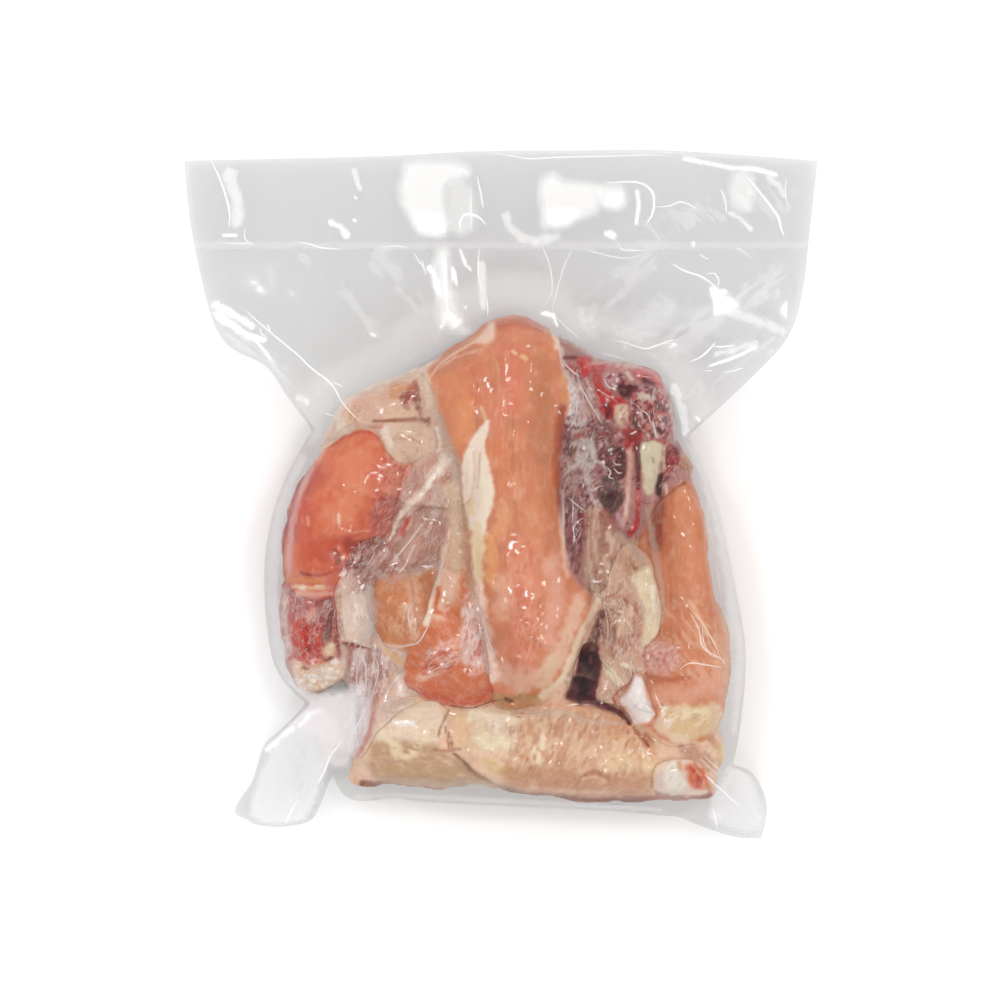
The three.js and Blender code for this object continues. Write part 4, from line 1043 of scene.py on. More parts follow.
# The inner fat: cream fat and brown pink membrane between the middle and right breasts.
inner_outline = [(45, -24), (50, -19), (56, -22), (60, -28), (61.4, -36), (62.6, -42), (62.8, -50),
                 (61, -56), (57, -60.6), (56.6, -66), (57, -74), (53, -82), (46, -83), (38, -81),
                 (28, -80), (24, -70), (26, -56), (32, -46), (37, -41), (42, -34)]
inner_marks = [
    ((190, 146, 120), 4.5, 0.3, 0.85, [(47, -25), (52, -31), (54, -36)]),
    ((224, 202, 170), -1.2, 1.2, 0.96, [(55.6, -29), (58.4, -28), (61, -34), (62.8, -44), (62.6, -52),
                                     (57, -60.4), (54.6, -58), (56.4, -48), (54, -40), (51.6, -33)]),
    ((236, 222, 198), 1.4, 0.6, 0.7, [(59, -36), (60, -46)]),
    ((158, 108, 80), 1.1, -0.5, 0.85, [(51.2, -28), (53, -29.4)]),
    ((190, 142, 122), -2.0, 0.2, 0.93, [(42, -41), (48, -38), (54, -42), (55.6, -54), (52, -62), (42, -63),
                                     (38, -58), (38.4, -48)]),
    ((208, 168, 142), -2.5, 0.5, 0.8, [(43, -45), (50, -43.6), (53.6, -49), (50, -55), (43.6, -54)]),
    ((222, 190, 168), -2, 0.4, 0.6, [(40, -42), (53, -42), (55, -56), (50, -66), (40, -66)], (3.4, 1.6, 70,
     0.36)),
    ((150, 98, 84), -2, -0.4, 0.6, [(40, -42), (52, -42), (54, -56), (48, -64), (40, -64)], (3.6, 1.4, 95,
     0.34)),
    ((116, 66, 54), (2.2, 3.8), -0.8, 0.92, [(39.6, -47), (37.4, -53), (36, -60)]),
    ((108, 62, 60), (1.0, 2.4), -0.8, 0.85, [(37.6, -54), (35.6, -61)]),
    ((172, 120, 100), 0.8, -0.8, 0.8, [(41, -40.4), (45, -39.4), (47, -36)]),
    ((204, 164, 138), -2.0, 1.0, 0.95, [(39, -65), (46, -64), (53, -62), (53, -70), (48, -77), (40, -81.4),
                                     (38.4, -74)]),
    ((232, 214, 188), 2.2, 0.7, 0.9, [(43, -70), (46, -74)]),
    ((234, 216, 192), 1.6, 0.6, 0.85, [(47.6, -67), (50.6, -68)]),
    ((165, 95, 75), (0.6, 0.9), -1.1, 0.92, [(51.6, -70.6), (51, -73.6), (49.2, -75.6), (46, -77.2),
                                             (44.2, -80), (45, -83)]),
    ((206, 140, 118), 1.6, 0, 0.8, [(46, -79.6), (47.6, -83)]),
    ((206, 154, 132), 2.0, 0.0, 0.6, [(54, -61), (54.6, -66)]),
    # Painted highlights: two small white glints, this mark and the next.
    ((240, 226, 214), 0.5, 0.5, 0.85, [(46, -45.8), (47.4, -46.4)]),
    ((240, 226, 214), 0.4, 0.5, 0.8, [(48.6, -49), (49.8, -51)]),
]
heap.lay("inner_fat", inner_outline, inner_marks, (204, 166, 144), loose_fat,
         shoulder=3.0, lumps=0.9, seed=61)

# The clot: a dark pocket of blood between the fat and the end of the middle breast.
clot_outline = [(32, -59), (37, -59), (40, -64), (40, -69), (38.8, -75), (38.2, -80), (42, -81.6),
                (48.6, -85), (52, -91), (50.4, -91.4), (45, -87), (38, -84.4), (31, -82.8),
                (24.4, -80.8), (27, -74), (29.4, -67)]
clot_marks = [
    ((46, 6, 16), 4.8, -0.5, 0.85, [(34, -62), (33.4, -70), (32, -78)]),
    ((28, 6, 12), 5, -0.6, 0.8, [(34.4, -63), (33, -72), (31, -79)], (2.0, 1.1, 95, 0.42)),
    # Painted sheen: purple flecks of light on the wet clot.
    ((142, 84, 100), 5, 0.5, 0.75, [(34.4, -63), (33, -72), (31, -79)], (1.6, 0.6, 70, 0.26)),
    ((112, 72, 66), 2.4, 0.2, 0.8, [(33, -60), (37.6, -60.6)]),
    ((140, 82, 94), 1.2, 0.3, 0.85, [(31.5, -80.6), (36, -83), (40, -84.2)], (2.0, 0.7, -20, 0.5)),
    ((104, 28, 30), 1.0, 0, 0.9, [(40, -82.4), (45, -84.8), (49.6, -88.4), (51, -90.6)]),
]
dark_clot = flesh("dark_clot", grain=90.0, streak=0.3, mottle=0.10, gloss=0.26)
heap.lay("clot", clot_outline, clot_marks, (96, 44, 50), dark_clot, shoulder=3,
         thin=0.8, lift=-1.6, lumps=1.2, blend=1.6, seed=67)

# The cartilage tip: the white keel end that stands out between the fat and the foot breast.
cartilage_outline = [(52, -70), (55, -70.8), (56.6, -74.5), (58.8, -80), (60.8, -86.6), (58.6, -90.4),
                     (52.4, -90.6), (49.8, -87), (46, -82), (46.4, -79.6), (50, -76)]
cartilage_marks = [
    ((236, 224, 220), 3, 0.9, 0.85, [(54, -74), (55, -81)]),
    ((222, 204, 196), 2.0, -0.3, 0.8, [(50, -86), (55, -89)]),
    ((212, 188, 182), 2.4, -0.2, 0.6, [(49, -80), (52, -86)], (2.6, 1.0, 110, 0.5)),
    ((246, 240, 238), 0.5, 0.5, 0.85, [(47.8, -82.4), (54, -84.4), (60, -86.4)]),
    ((206, 158, 138), 0.9, 0, 0.85, [(52.4, -70.6), (55, -71.4)]),
    ((182, 120, 86), 0.5, -0.4, 0.85, [(60.4, -84.6), (61, -87), (60, -89)]),
]


def gristle(name):
    """Cartilage: smooth and white, with faint veins."""
    r = Recipe(name)
    tone = r.brushed("tone").outputs["Color"]
    cloud = r.noise(4.0, 4.0)
    vein = r.noise(1.2, 2.0, r.stretched(100.0, 5.0, 1.0))
    colour = r.mix(vein.ramp(0.58, 0.75) * 0.25, tone, (0.66, 0.46, 0.40, 1.0))
    r.feed(Base_Color=colour, Roughness=cloud * 0.15 + 0.25,
           Normal=r.bump(cloud + vein * 0.3, 0.4))
    r.shader.inputs["Specular IOR Level"].default_value = 0.2
    return r.material


white_gristle = gristle("white_gristle")
heap.lay("cartilage", cartilage_outline, cartilage_marks, (226, 212, 205),
         white_gristle, shoulder=2.5, thin=1.8, lift=0.5, lumps=0.3, seed=71)

# The keel end: the cut cartilage at the right end of the foot breast, with red flesh round it.
keel_outline = [(60.6, -108), (64.6, -104.6), (69, -103.4), (75, -104), (80, -107.6), (83, -112),
                (83.8, -117), (81.6, -119.6), (74, -120.4), (66, -120), (61, -118), (59.8, -113)]
keel_marks = [
    ((214, 188, 182), 1.8, 0, 0.85, [(62.6, -110), (62.6, -115)]),
    ((228, 218, 204), -1.6, 1.0, 0.92, [(64.4, -106), (68.6, -105), (70, -110), (73.4, -114.6), (68, -116.6),
                                     (64.6, -115)]),
    ((204, 182, 160), 3.6, -0.3, 0.6, [(66, -107), (69, -114)], (2.2, 0.9, 60, 0.35)),
    ((202, 196, 172), 1.0, 0, 0.8, [(63.6, -117.4), (70, -117.8)]),
    ((204, 154, 120), 1.5, -0.4, 0.85, [(69.8, -105.6), (70.4, -107.6)]),
    ((206, 120, 88), -1.4, 0.3, 0.95, [(72.6, -106.6), (80, -108), (81, -115.6), (75, -115.8)]),
    ((170, 66, 50), 3.0, 0.2, 0.8, [(75, -108.6), (79.4, -114)], (2.0, 0.9, 110, 0.42)),
    ((236, 186, 158), 3.0, 0.4, 0.7, [(74.6, -108), (79, -114)], (2.2, 0.7, 100, 0.32)),
    ((182, 86, 56), 1.4, 0.2, 0.9, [(77.2, -111.6), (77.4, -114.6)]),
    ((226, 164, 136), 0.6, 0.4, 0.85, [(74.6, -105.6), (77, -108.4), (78.4, -110.6)]),
    ((150, 96, 84), 0.4, -0.3, 0.8, [(75.8, -105.6), (77.8, -108.4)]),
    ((196, 120, 72), 1.9, 0.2, 0.95, [(81.6, -115), (82, -118)]),
    ((216, 186, 166), 1.3, 0.2, 0.9, [(73, -117), (78.6, -116.8)]),
    ((178, 110, 104), 0.7, -0.2, 0.85, [(72, -118.2), (76.4, -118.8)]),
    ((140, 74, 54), 2.2, -0.2, 0.88, [(60, -118.4), (68, -119.8), (76, -120), (83, -118.4)]),
]
heap.lay("keel_end", keel_outline, keel_marks, (218, 196, 178), white_gristle,
         shoulder=3, thin=1.4, lift=0.4, lumps=0.5, seed=73)

# The tenderloin: the small muscle from under the left of the middle breast, and its lower
# end, which is folded round below it.
tenderloin_outline = [(-51, -46.5), (-51, -38), (-48, -33), (-42, -30.5), (-34, -30), (-24, -28),
                      (-12, -34), (-8, -52), (-16, -66), (-30, -66), (-41, -61), (-47, -58)]
tenderloin_marks = [
    ((200, 134, 96), 5, 0.6, 0.7, [(-46, -38), (-44, -50), (-40, -56)]),
    ((220, 170, 142), 5, 0.6, 0.9, [(-35, -34), (-34, -46), (-30, -58)]),
    ((188, 120, 80), 2.0, -0.4, 0.8, [(-50, -40), (-50, -50), (-46, -57)]),
    ((196, 122, 88), 2.4, -0.2, 0.6, [(-44, -34), (-38, -33)]),
    ((224, 180, 144), 6, 0.3, 0.6, [(-44, -40), (-42, -50), (-38, -57)], (7.0, 0.9, 72, 0.36)),
    ((180, 110, 76), 5, -0.3, 0.5, [(-46, -38), (-44, -50), (-40, -56)], (6.0, 0.8, 74, 0.3)),
    ((230, 200, 176), 2.6, 0.5, 0.8, [(-35, -42), (-36, -48), (-34, -55)], (6.0, 0.9, 85, 0.55)),
    ((230, 194, 172), 0.7, 0.5, 0.85, [(-47, -59.6), (-39.5, -60), (-33, -58.6), (-30, -54), (-28, -51)]),
    ((232, 174, 134), 0.6, 0.4, 0.8, [(-44.6, -42.6), (-42.6, -40)]),
    ((214, 164, 130), 3.0, 0.2, 0.6, [(-26, -58), (-20, -64)]),
    ((222, 186, 160), 2.2, 0.2, 0.7, [(-24, -30), (-26, -40)]),
]
tender_muscle = flesh("tender_muscle", grain=-50.0, streak=0.22, mottle=0.28, sinew=0.16)
heap.lay("tenderloin", tenderloin_outline, tenderloin_marks, (197, 130, 92),
         tender_muscle, shoulder=3.0, lift=0.2, seed=79)

lobe_outline = [(-20, -13), (-23, -24), (-26, -36), (-30.5, -48), (-35, -59), (-38.5, -67),
                (-38.5, -72), (-37, -75.6), (-33, -78), (-30, -80.4), (-25, -82.4), (-18, -84),
                (-10, -83.6), (0, -83), (10, -76), (12, -56), (6, -36), (0, -22), (-8, -12)]
torn_white = (3.2, 0.9, 30, 0.55)
lobe_marks = [
    ((206, 124, 92), 8, 1.0, 0.7, [(-30, -72), (-18, -76), (-10, -70)]),
    ((194, 106, 76), (2.4, 3.0), -0.4, 0.85, [(-38, -73), (-30, -79), (-20, -82), (-10, -82), (-5, -77)]),
    ((204, 120, 78), 4.0, 0, 0.75, [(-30, -50), (-28, -56), (-36, -66)]),
    ((222, 178, 146), 6, 0.2, 0.9, [(-17, -14), (-19, -28), (-19, -42)]),
    ((214, 158, 126), 4, 0.2, 0.7, [(-30, -38), (-27, -48)]),
    ((236, 198, 174), 5.4, 0.2, 0.92, [(-19, -16), (-22, -30), (-25, -46)]),
    ((240, 214, 180), 4.0, 0.3, 0.6, [(-14, -18), (-14, -40)], (8.0, 1.2, 90, 0.34)),
    ((236, 216, 194), (1.2, 2.0), 0.6, 0.9, [(-23, -27), (-25, -35), (-27.6, -42), (-29.4, -51)]),
    ((206, 110, 74), 1.6, -0.2, 0.8, [(-24.4, -37), (-26, -46), (-22, -47)]),
    ((238, 200, 184), 2.2, 0.4, 0.8, [(-19.4, -32), (-20, -40), (-22, -46)], (5.0, 0.7, 80, 0.5)),
    ((218, 180, 168), -3.0, 0.2, 0.85, [(-14, -41), (-7, -41), (-5, -54), (-6, -67), (-14, -67), (-16, -54)]),
    ((240, 222, 216), -2, 0.5, 0.8, [(-15, -41), (-6, -41), (-3, -66), (-14, -68)], (4.0, 0.7, 84, 0.4)),
    ((190, 96, 84), -2, -0.3, 0.65, [(-15, -42), (-7, -44), (-6, -66), (-14, -67)], (3.0, 0.8, 80, 0.28)),
    ((236, 206, 194), -1.2, 0.7, 0.65, [(-32, -67), (-27, -61), (-20, -58), (-17.4, -62), (-20, -65.6),
                                     (-26, -66)], torn_white),
    ((236, 202, 188), -1.0, 0.6, 0.7, [(-33, -73), (-29, -69), (-20, -65.6), (-17.6, -65), (-20, -69),
                                     (-27, -72.4)], (4.0, 0.8, 24, 0.62)),
    ((228, 178, 164), -1.6, 0.3, 0.7, [(-26, -60), (-20, -53), (-15, -54), (-16, -66), (-24, -68)],
     (3.0, 0.8, 50, 0.45)),
    ((186, 86, 66), -1.4, -0.5, 0.7, [(-31, -70), (-26, -62), (-18, -59), (-18, -67), (-26, -71)],
     (3.6, 0.6, 28, 0.28)),
    ((238, 196, 180), 2.0, 0.4, 0.7, [(-16, -70), (-10, -70)], (2.0, 0.8, 70, 0.4)),
    ((240, 220, 208), 0.5, 0.6, 0.85, [(-7, -48.5), (-5, -56.6), (-1.3, -66)]),
    ((232, 204, 172), 3.0, 0.3, 0.85, [(-10, -18), (-9, -42)]),
]
heap.lay("lower_lobe", lobe_outline, lobe_marks, (204, 124, 92), tender_muscle,
         shoulder=3.0, lift=0.2, seed=83)

# The middle breast: the large orange pink muscle on top of the others, with a seam of white
# fat down its left side and a rim of cream membrane on its lower right.
middle_outline = [(-30, 48), (-28, 51.5), (-25, 54), (-21, 57), (-17, 60.5), (-13, 63), (-10, 65),
                  (-7, 68), (-3, 70), (2, 71.3), (8, 71), (12, 70), (16, 68.4), (20, 65), (22.6, 61),
                  (23.4, 56), (24.4, 51), (26, 45), (27.4, 39), (27.4, 33), (25.4, 28), (24, 18),
                  (23, 6), (23.6, -8), (25.5, -20), (28, -30), (33, -37), (38, -40), (39.6, -43),
                  (36.6, -49), (33.6, -55), (30.6, -61), (28, -67), (25, -73), (21.5, -77.5),
                  (16.5, -81.4), (10, -84), (2, -84.5), (-3, -81), (-4.5, -70), (-6.5, -57),
                  (-9, -44), (-11, -34), (-12.4, -22), (-15, -10), (-16.4, 0), (-16.6, 9), (-18, 15),
                  (-21, 20.4), (-23.6, 26), (-25.6, 34), (-27.6, 42)]
middle_marks = [
    ((213, 140, 104), 9, 0.8, 0.8, [(-18, 44), (-17, 34), (-14, 26)]),
    ((209, 130, 100), 5, 0.3, 0.7, [(-12, 50), (-9, 44), (-10, 36)]),
    ((222, 150, 108), 4, 0.2, 0.7, [(-14, 36), (-14, 27), (-17, 21)]),
    ((212, 130, 106), 7, 0.6, 0.8, [(4, 56), (4, 44), (3, 34)]),
    ((215, 138, 112), 5, 0.3, 0.7, [(-4, 38), (-1, 26)]),
    ((190, 128, 98), 7, 0.0, 0.85, [(15, 50), (16, 32), (16, 14)]),
    ((206, 138, 110), 4, 0.0, 0.7, [(11, 50), (14, 46)]),
    ((212, 134, 98), 6, 0.4, 0.8, [(0, 18), (3, 6)]),
    ((200, 130, 96), 4, 0.0, 0.7, [(17, 6), (20, -6)]),
    ((222, 162, 122), 4.5, 0.2, 0.8, [(1, -6), (0, -14)]),
    ((215, 148, 112), 6, 0.2, 0.75, [(12, -6), (14, -20)]),
    ((223, 160, 112), 3.4, 0.2, 0.85, [(-4, -18), (-4, -34)]),
    ((220, 148, 122), 9, 0.7, 0.8, [(8, -24), (9, -44), (9, -62)]),
    ((222, 166, 144), 5, 0, 0.8, [(20, -26), (22, -42), (18, -58)]),
    ((213, 150, 108), 2.4, 0, 0.8, [(24.6, 46), (25.4, 36)]),
    # Painted shadow: a dark brown band along the right edge, where the breast rolls off.
    ((164, 98, 76), 2.2, -0.2, 0.8, [(24, 34), (23, 20), (22.6, 8), (23, -4)]),
    ((184, 112, 80), 1.6, 0, 0.75, [(21.8, 30), (21, 16), (21.4, 4)]),
    ((224, 188, 164), 1.8, 0, 0.7, [(24, -8), (24.6, -20), (26, -32)]),
    ((192, 112, 86), 3.4, 0.0, 0.75, [(0, 66.6), (8, 67.6), (15, 65.6)]),
    ((210, 152, 126), 1.4, 0, 0.8, [(-4, 68.6), (2, 70), (7, 70.2), (13, 69)]),
    ((204, 130, 88), 1.6, 0.2, 0.8, [(-22, 56), (-17, 59.8), (-12, 62), (-8, 66)]),
    ((226, 188, 164), 4.6, 0, 0.8, [(31, -43), (26, -56), (20, -68)]),
    ((222, 176, 154), 6.5, 0, 0.85, [(0, -69), (8, -74), (14, -72)]),
    ((216, 184, 154), 4, 0, 0.8, [(20, -64), (18, -74)]),
    ((178, 140, 104), -1.0, -0.8, 0.9, [(-8, -78), (4, -79), (16, -79), (12, -86), (-6, -84)]),
    ((192, 132, 92), 1.6, -0.2, 0.8, [(3, -82.6), (12, -83)]),
    ((112, 74, 56), 0.8, -1.0, 0.9, [(1.8, -80.4), (4.4, -81.4)]),
    ((220, 182, 166), 3.0, 0, 0.85, [(-10, -36), (-8, -48), (-6, -60), (-4, -72)]),
    ((230, 170, 142), 9, 0.3, 0.55, [(8, -24), (9, -44), (9, -60)], (5.0, 0.9, 86, 0.32)),
    ((196, 104, 80), 9, -0.2, 0.45, [(8, -24), (9, -44), (9, -60)], (4.0, 0.9, 80, 0.26)),
    ((228, 168, 136), 8, 0.3, 0.45, [(2, 56), (0, 36), (4, 14), (6, -8)], (6.0, 0.9, 96, 0.3)),
    ((120, 84, 60), 0.5, -0.8, 0.85, [(-1.6, -84), (0.4, -84.2)]),
    ((226, 204, 178), (1.6, 2.2), 0.8, 0.95, [(38.4, -41), (36, -46), (33, -51.6), (30.6, -57), (28, -64),
                                              (25.4, -70), (21.6, -75.6), (16, -79)]),
    ((200, 156, 130), 0.5, -0.5, 0.7, [(36, -41), (32.4, -48), (29.4, -55), (26.6, -62)]),
    ((226, 202, 182), (1.8, 2.4), 0.6, 0.92, [(14, 69.4), (18.6, 66.4), (21.4, 62.6), (22.6, 58)]),
    ((227, 186, 160), 0.8, 0.6, 0.85, [(-27.6, 46), (-24, 51), (-20, 54), (-15, 57), (-10, 60)]),
    ((228, 188, 160), 0.6, 0.5, 0.75, [(-24, 49.4), (-19, 53), (-14, 55), (-8, 56.4)]),
    ((228, 196, 176), -1.0, 0.6, 0.9, [(-10, 60), (-7, 63), (-4.6, 67), (-2.6, 66), (-2.6, 61), (-6, 58.6)]),
    # Painted highlights: two small cream glints, this mark and the next.
    ((236, 206, 170), 0.9, 0.2, 0.8, [(4.6, 56), (5.8, 55)]),
    ((226, 188, 138), 1.1, 0.2, 0.8, [(8.4, 54), (9.6, 53)]),
    ((228, 192, 150), 1.0, 0.2, 0.8, [(-7.8, 34), (-6.4, 31), (-6, 27)]),
    ((234, 212, 182), (4.8, 3.2), 0.6, 0.95, [(-9.6, -8), (-9.2, -20), (-9.4, -32), (-10, -40)]),
    ((238, 220, 190), 3.4, 0.4, 0.7, [(-10, -12), (-9.6, -36)], (7.0, 0.7, 90, 0.45)),
    ((235, 218, 200), -0.4, 0.8, 0.95, [(-5, 29), (-5, 25), (-6, 20), (-5.5, 14), (-4, 9), (-3, 5), (-2.2,
     1.6),
                                     (-3, -2), (-4, -6), (-5, -10), (-6.6, -15), (-9, -17), (-12, -13),
                                     (-15, -5), (-15.6, 3), (-15.6, 11), (-14, 17), (-12, 20.6),
                                     (-9.6, 24), (-7.6, 27)]),
    ((236, 222, 196), 2.4, 0.3, 0.85, [(-6, 4), (-6, -4)]),
    ((229, 208, 154), 1.7, 0, 0.8, [(-12, -3.4), (-11.6, -7)]),
    ((226, 200, 160), 1.8, 0, 0.75, [(-9, -12), (-8.6, -22), (-8.6, -32)]),
    ((206, 172, 148), 0.5, -0.5, 0.7, [(-8.4, 16), (-8.6, 8), (-9.6, 2)]),
    ((222, 190, 168), 0.5, -0.3, 0.6, [(-13.4, 8), (-13.6, 0), (-12.8, -8)]),
    ((240, 212, 196), 4.2, 0, 0.9, [(-9.6, -38), (-7.4, -50), (-5.4, -60), (-3.6, -72)]),
    ((234, 184, 158), 5.0, 0.2, 0.6, [(0, -34), (0, -46)]),
]
middle_muscle = flesh("middle_muscle", grain=92.0, streak=0.18, mottle=0.26, sinew=0.05)
heap.lay("middle_breast", middle_outline, middle_marks, (207, 137, 106),
         middle_muscle, shoulder=4.5, thin=1.2, lift=0.4, seed=89)

# The silver skin: the thin wet membrane of connective tissue that runs over the seams between
# the pieces. It hides most in the valleys, and its stronger strands show white.
def draped(heights, rounds):
    """Heights with their narrow valleys filled and rounded off, nowhere under the first."""
    level = heights.copy()
    for pick in [np.maximum] * rounds + [np.minimum] * rounds:
        for side in (0, 1):
            level = pick(level, pick(np.roll(level, 1, side), np.roll(level, -1, side)))
    for _ in range(3 * rounds):
        mean = sum(np.roll(level, s, k) for s in (1, -1) for k in (0, 1)) / 4
        level = np.maximum(heights, mean)
    return level


def veil(name, slot, xs, ys, level, marks, ground, fade, light_of, material, seed):
    """A thin sheet at a level over a board, only there where it hides something. It starts
    from the ground, a colour and how much that hides, and marks are brushed over it. It
    fades out where fade, from 1 to 0, says."""
    gx, gy = np.meshgrid(xs, ys, indexing="ij")
    across, up = seen(gx, gy, level)
    wobble = ripple(gx, gy, level, 2.6, seed) + 0.5 * ripple(gx, gy, level, 1.1, seed + 1)
    tone = np.zeros(gx.shape + (3,)) + ground[0]
    cover = np.zeros(gx.shape) + ground[1]
    for mark in marks:
        share = mark[3] * touch(across, up, mark, wobble)
        cover = share + cover * (1 - share)
        tone += (np.array(mark[0], float) - tone) * (share / np.maximum(cover, 1e-6))[..., None]
    cover = cover * fade
    corners = np.maximum(np.maximum(cover[:-1, :-1], cover[1:, 1:]),
                         np.maximum(cover[:-1, 1:], cover[1:, :-1]))
    thin = 0.04
    points, faces, used = slab(filled(corners > 0.05), gx, gy, level + thin, level, gx, gy)
    piece = object_of(name, points, faces, material)
    both = np.tile(used, 2)
    tint(piece, light_of(tone.reshape(-1, 3)[both]), cover.ravel()[both])
    belongs(piece)


def see_through(name, gloss, fibre=0.0):
    """A material that hides what lies below it as far as its cover attribute says."""
    r = Recipe(name)
    share = Value(r, r.brushed("cover").outputs["Fac"])
    if fibre:
        threads = r.noise(0.7, 4.0, r.stretched(70.0, 7.0, 1.0), 0.7)
        share = share * (threads.ramp(0.30, 0.62) * fibre + (1 - fibre))
    r.feed(Base_Color=r.brushed("tone").outputs["Color"], Roughness=gloss)
    r.shader.inputs["Specular IOR Level"].default_value = 0.2
    clear = r.node("ShaderNodeBsdfTransparent", None, {"Color": (1, 1, 1, 1)})
    both = r.node("ShaderNodeMixShader", None, {0: share, 1: clear.outputs[0], 2: r.shader.outputs[0]})
    r.tree.links.new(both.outputs[0], r.output.inputs["Surface"])
    return r.material


skin_level = draped(np.where(heap.there, heap.top, -5.0), 4)
valley = smooth((skin_level - heap.top - 0.1) / 1.6)
on_meat = heap.there.astype(float)
for _ in range(6):
    on_meat = sum(np.roll(on_meat, s, k) for s in (1, -1) for k in (0, 1)) / 4
on_meat = smooth(on_meat * 2 - 1)
skin_level = np.maximum(skin_level, meat_under)
skin_level += 0.10
silver_marks = [
    ((222, 200, 178), 2.2, 0, 0.45, [(46, -16), (52, -22), (56, -26)]),
    ((224, 200, 180), 2.0, 0, 0.40, [(57, -6), (60, -20), (63, -36), (63, -50)]),
    ((228, 206, 186), 2.0, 0, 0.45, [(34, -30), (38, -40), (34, -52)]),
    ((226, 204, 184), 2.6, 0, 0.6, [(-24, 30), (-20, 18), (-17.4, 8), (-17, -4)]),
    ((236, 208, 180), 3.4, 0, 0.85, [(-18.6, 2), (-17.6, -14), (-17, -28)]),
    ((222, 190, 166), 2.6, 0, 0.6, [(-16.4, -2), (-14.6, -14), (-12.6, -28), (-11, -40)]),
    ((222, 196, 184), 1.8, 0, 0.5, [(-9.6, -42), (-7, -56), (-5, -70)]),
    ((226, 204, 190), 2.4, 0, 0.40, [(-52, -28), (-44, -34), (-34, -31), (-24, -28)]),
    ((224, 210, 204), 2.6, 0, 0.45, [(-52, -36), (-50, -48), (-54, -58)]),
    ((224, 204, 188), 1.6, 0, 0.40, [(-62, -60), (-60, -72), (-61, -84)]),
    ((228, 208, 188), 2.0, 0, 0.40, [(-50, -84), (-42, -83), (-34, -81)]),
    ((228, 210, 192), 1.8, 0, 0.35, [(12, -86), (26, -86), (36, -90), (48, -90)]),
    ((226, 204, 186), 1.8, 0, 0.35, [(-70, 20), (-62, 24), (-56, 27), (-48, 27)]),
]
silver_film = see_through("silver_film", 0.35, fibre=0.6)
veil("silver_skin", "skin_and_fat", meat_x, meat_y, skin_level, silver_marks,
     ((210, 164, 142), 0.22 * valley), on_meat, under_film, silver_film, 111)


def on_board(path, board, xs, ys):
    """The points of a board that show to the camera at the places of a path."""
    goal = np.array(path, float).T
    x, y = goal
    for _ in range(5):
        z = between(board, xs, ys, x, y)
        shown = seen(x, y, z)
        x, y = x + goal[0] - shown[0], y + goal[1] - shown[1]
    return np.stack([x, y, between(board, xs, ys, x, y)], axis=1)


class Growth(Nodes):
    """A geometry node tree that grows one mesh on the mesh it is given."""

    def __init__(self, name, **numbers):
        super().__init__(bpy.data.node_groups.new(name, "GeometryNodeTree"))
        door = self.tree.interface
        door.new_socket("Geometry", in_out="INPUT", socket_type="NodeSocketGeometry")
        door.new_socket("Geometry", in_out="OUTPUT", socket_type="NodeSocketGeometry")
        self.numbers = {}
        for label, value in numbers.items():
            socket = door.new_socket(label, in_out="INPUT", socket_type="NodeSocketFloat")
            self.numbers[socket.identifier] = value
        self.given = self.node("NodeGroupInput").outputs

    def read(self, name):
        """The values of an attribute of the mesh."""
        return self.node("GeometryNodeInputNamedAttribute", {"data_type": "FLOAT"},
                         {0: name}).outputs[0]

    def swept(self, curve, half, flat):
        """A flat strand along a curve, with the given half width, its two ends closed."""
        upright = self.node("GeometryNodeSetCurveNormal", {"mode": "Z_UP"}, {0: curve}).outputs[0]
        ring = self.node("GeometryNodeCurvePrimitiveCircle", None, {0: 6, 4: 1.0}).outputs[0]
        size = self.node("ShaderNodeCombineXYZ", None, {0: 1.0, 1: flat, 2: 1.0}).outputs[0]
        profile = self.node("GeometryNodeTransform", None, {0: ring, 3: size}).outputs[0]
        return self.node("GeometryNodeCurveToMesh", None,
                         {0: upright, 1: profile, 2: half, 3: True}).outputs[0]

    def grow(self, base, made, material):
        """Ends the tree, runs it on the base object and keeps the mesh that it makes."""
        whole = self.node("GeometryNodeRealizeInstances", None, {0: made}).outputs[0]
        soft = self.node("GeometryNodeSetShadeSmooth", None, {0: whole}).outputs[0]
        dressed = self.node("GeometryNodeSetMaterial", None, {0: soft, 2: material}).outputs[0]
        self.node("NodeGroupOutput", None, {0: dressed})
        growth = base.modifiers.new("growth", "NODES")
        growth.node_group = self.tree
        for identifier, value in self.numbers.items():
            growth[identifier] = value
        layers = bpy.context.evaluated_depsgraph_get()
        mesh = bpy.data.meshes.new_from_object(base.evaluated_get(layers), depsgraph=layers,
                                               preserve_all_data_layers=True)
        base.modifiers.remove(growth)
        base.data = mesh


def strands(name, board, xs, ys, paths, light_of, material, flat, seed):
    """Strands or creases that lie along paths on a board. Each path has a colour, a half
    width and how much it hides, and runs to a point at both ends."""
    spots, links, halves, tones, covers = [], [], [], [], []
    for tone, half, cover, path in paths:
        run = on_board(rounded(path, closed=False, per_span=6), board, xs, ys)
        t = np.linspace(0, 1, len(run))
        jitter = 0.25 * ripple(run[:, 0], run[:, 1], seed, 2.5, seed)
        links += [(len(halves) + k, len(halves) + k + 1) for k in range(len(run) - 1)]
        spots.append(run)
        halves += list(half * np.clip(np.sin(np.pi * t), 0.02, 1) ** 0.6 * (1 + jitter))
        tones += [tone] * len(run)
        covers += [cover] * len(run)
    mesh = bpy.data.meshes.new(name)
    mesh.from_pydata((np.vstack(spots) * metre).tolist(), links, [])
    piece = bpy.data.objects.new(name, mesh)
    scene.collection.objects.link(piece)
    width = mesh.attributes.new("half", "FLOAT", "POINT")
    width.data.foreach_set("value", (np.array(halves) * metre).astype(np.float32))
    tint(piece, light_of(np.array(tones, float)), np.array(covers))
    growth = Growth(name, Flat=flat)
    curve = growth.node("GeometryNodeMeshToCurve", None, {0: growth.given["Geometry"]}).outputs[0]
    made = growth.swept(curve, growth.read("half"), growth.given["Flat"])
    growth.grow(piece, made, material)
    belongs(piece)


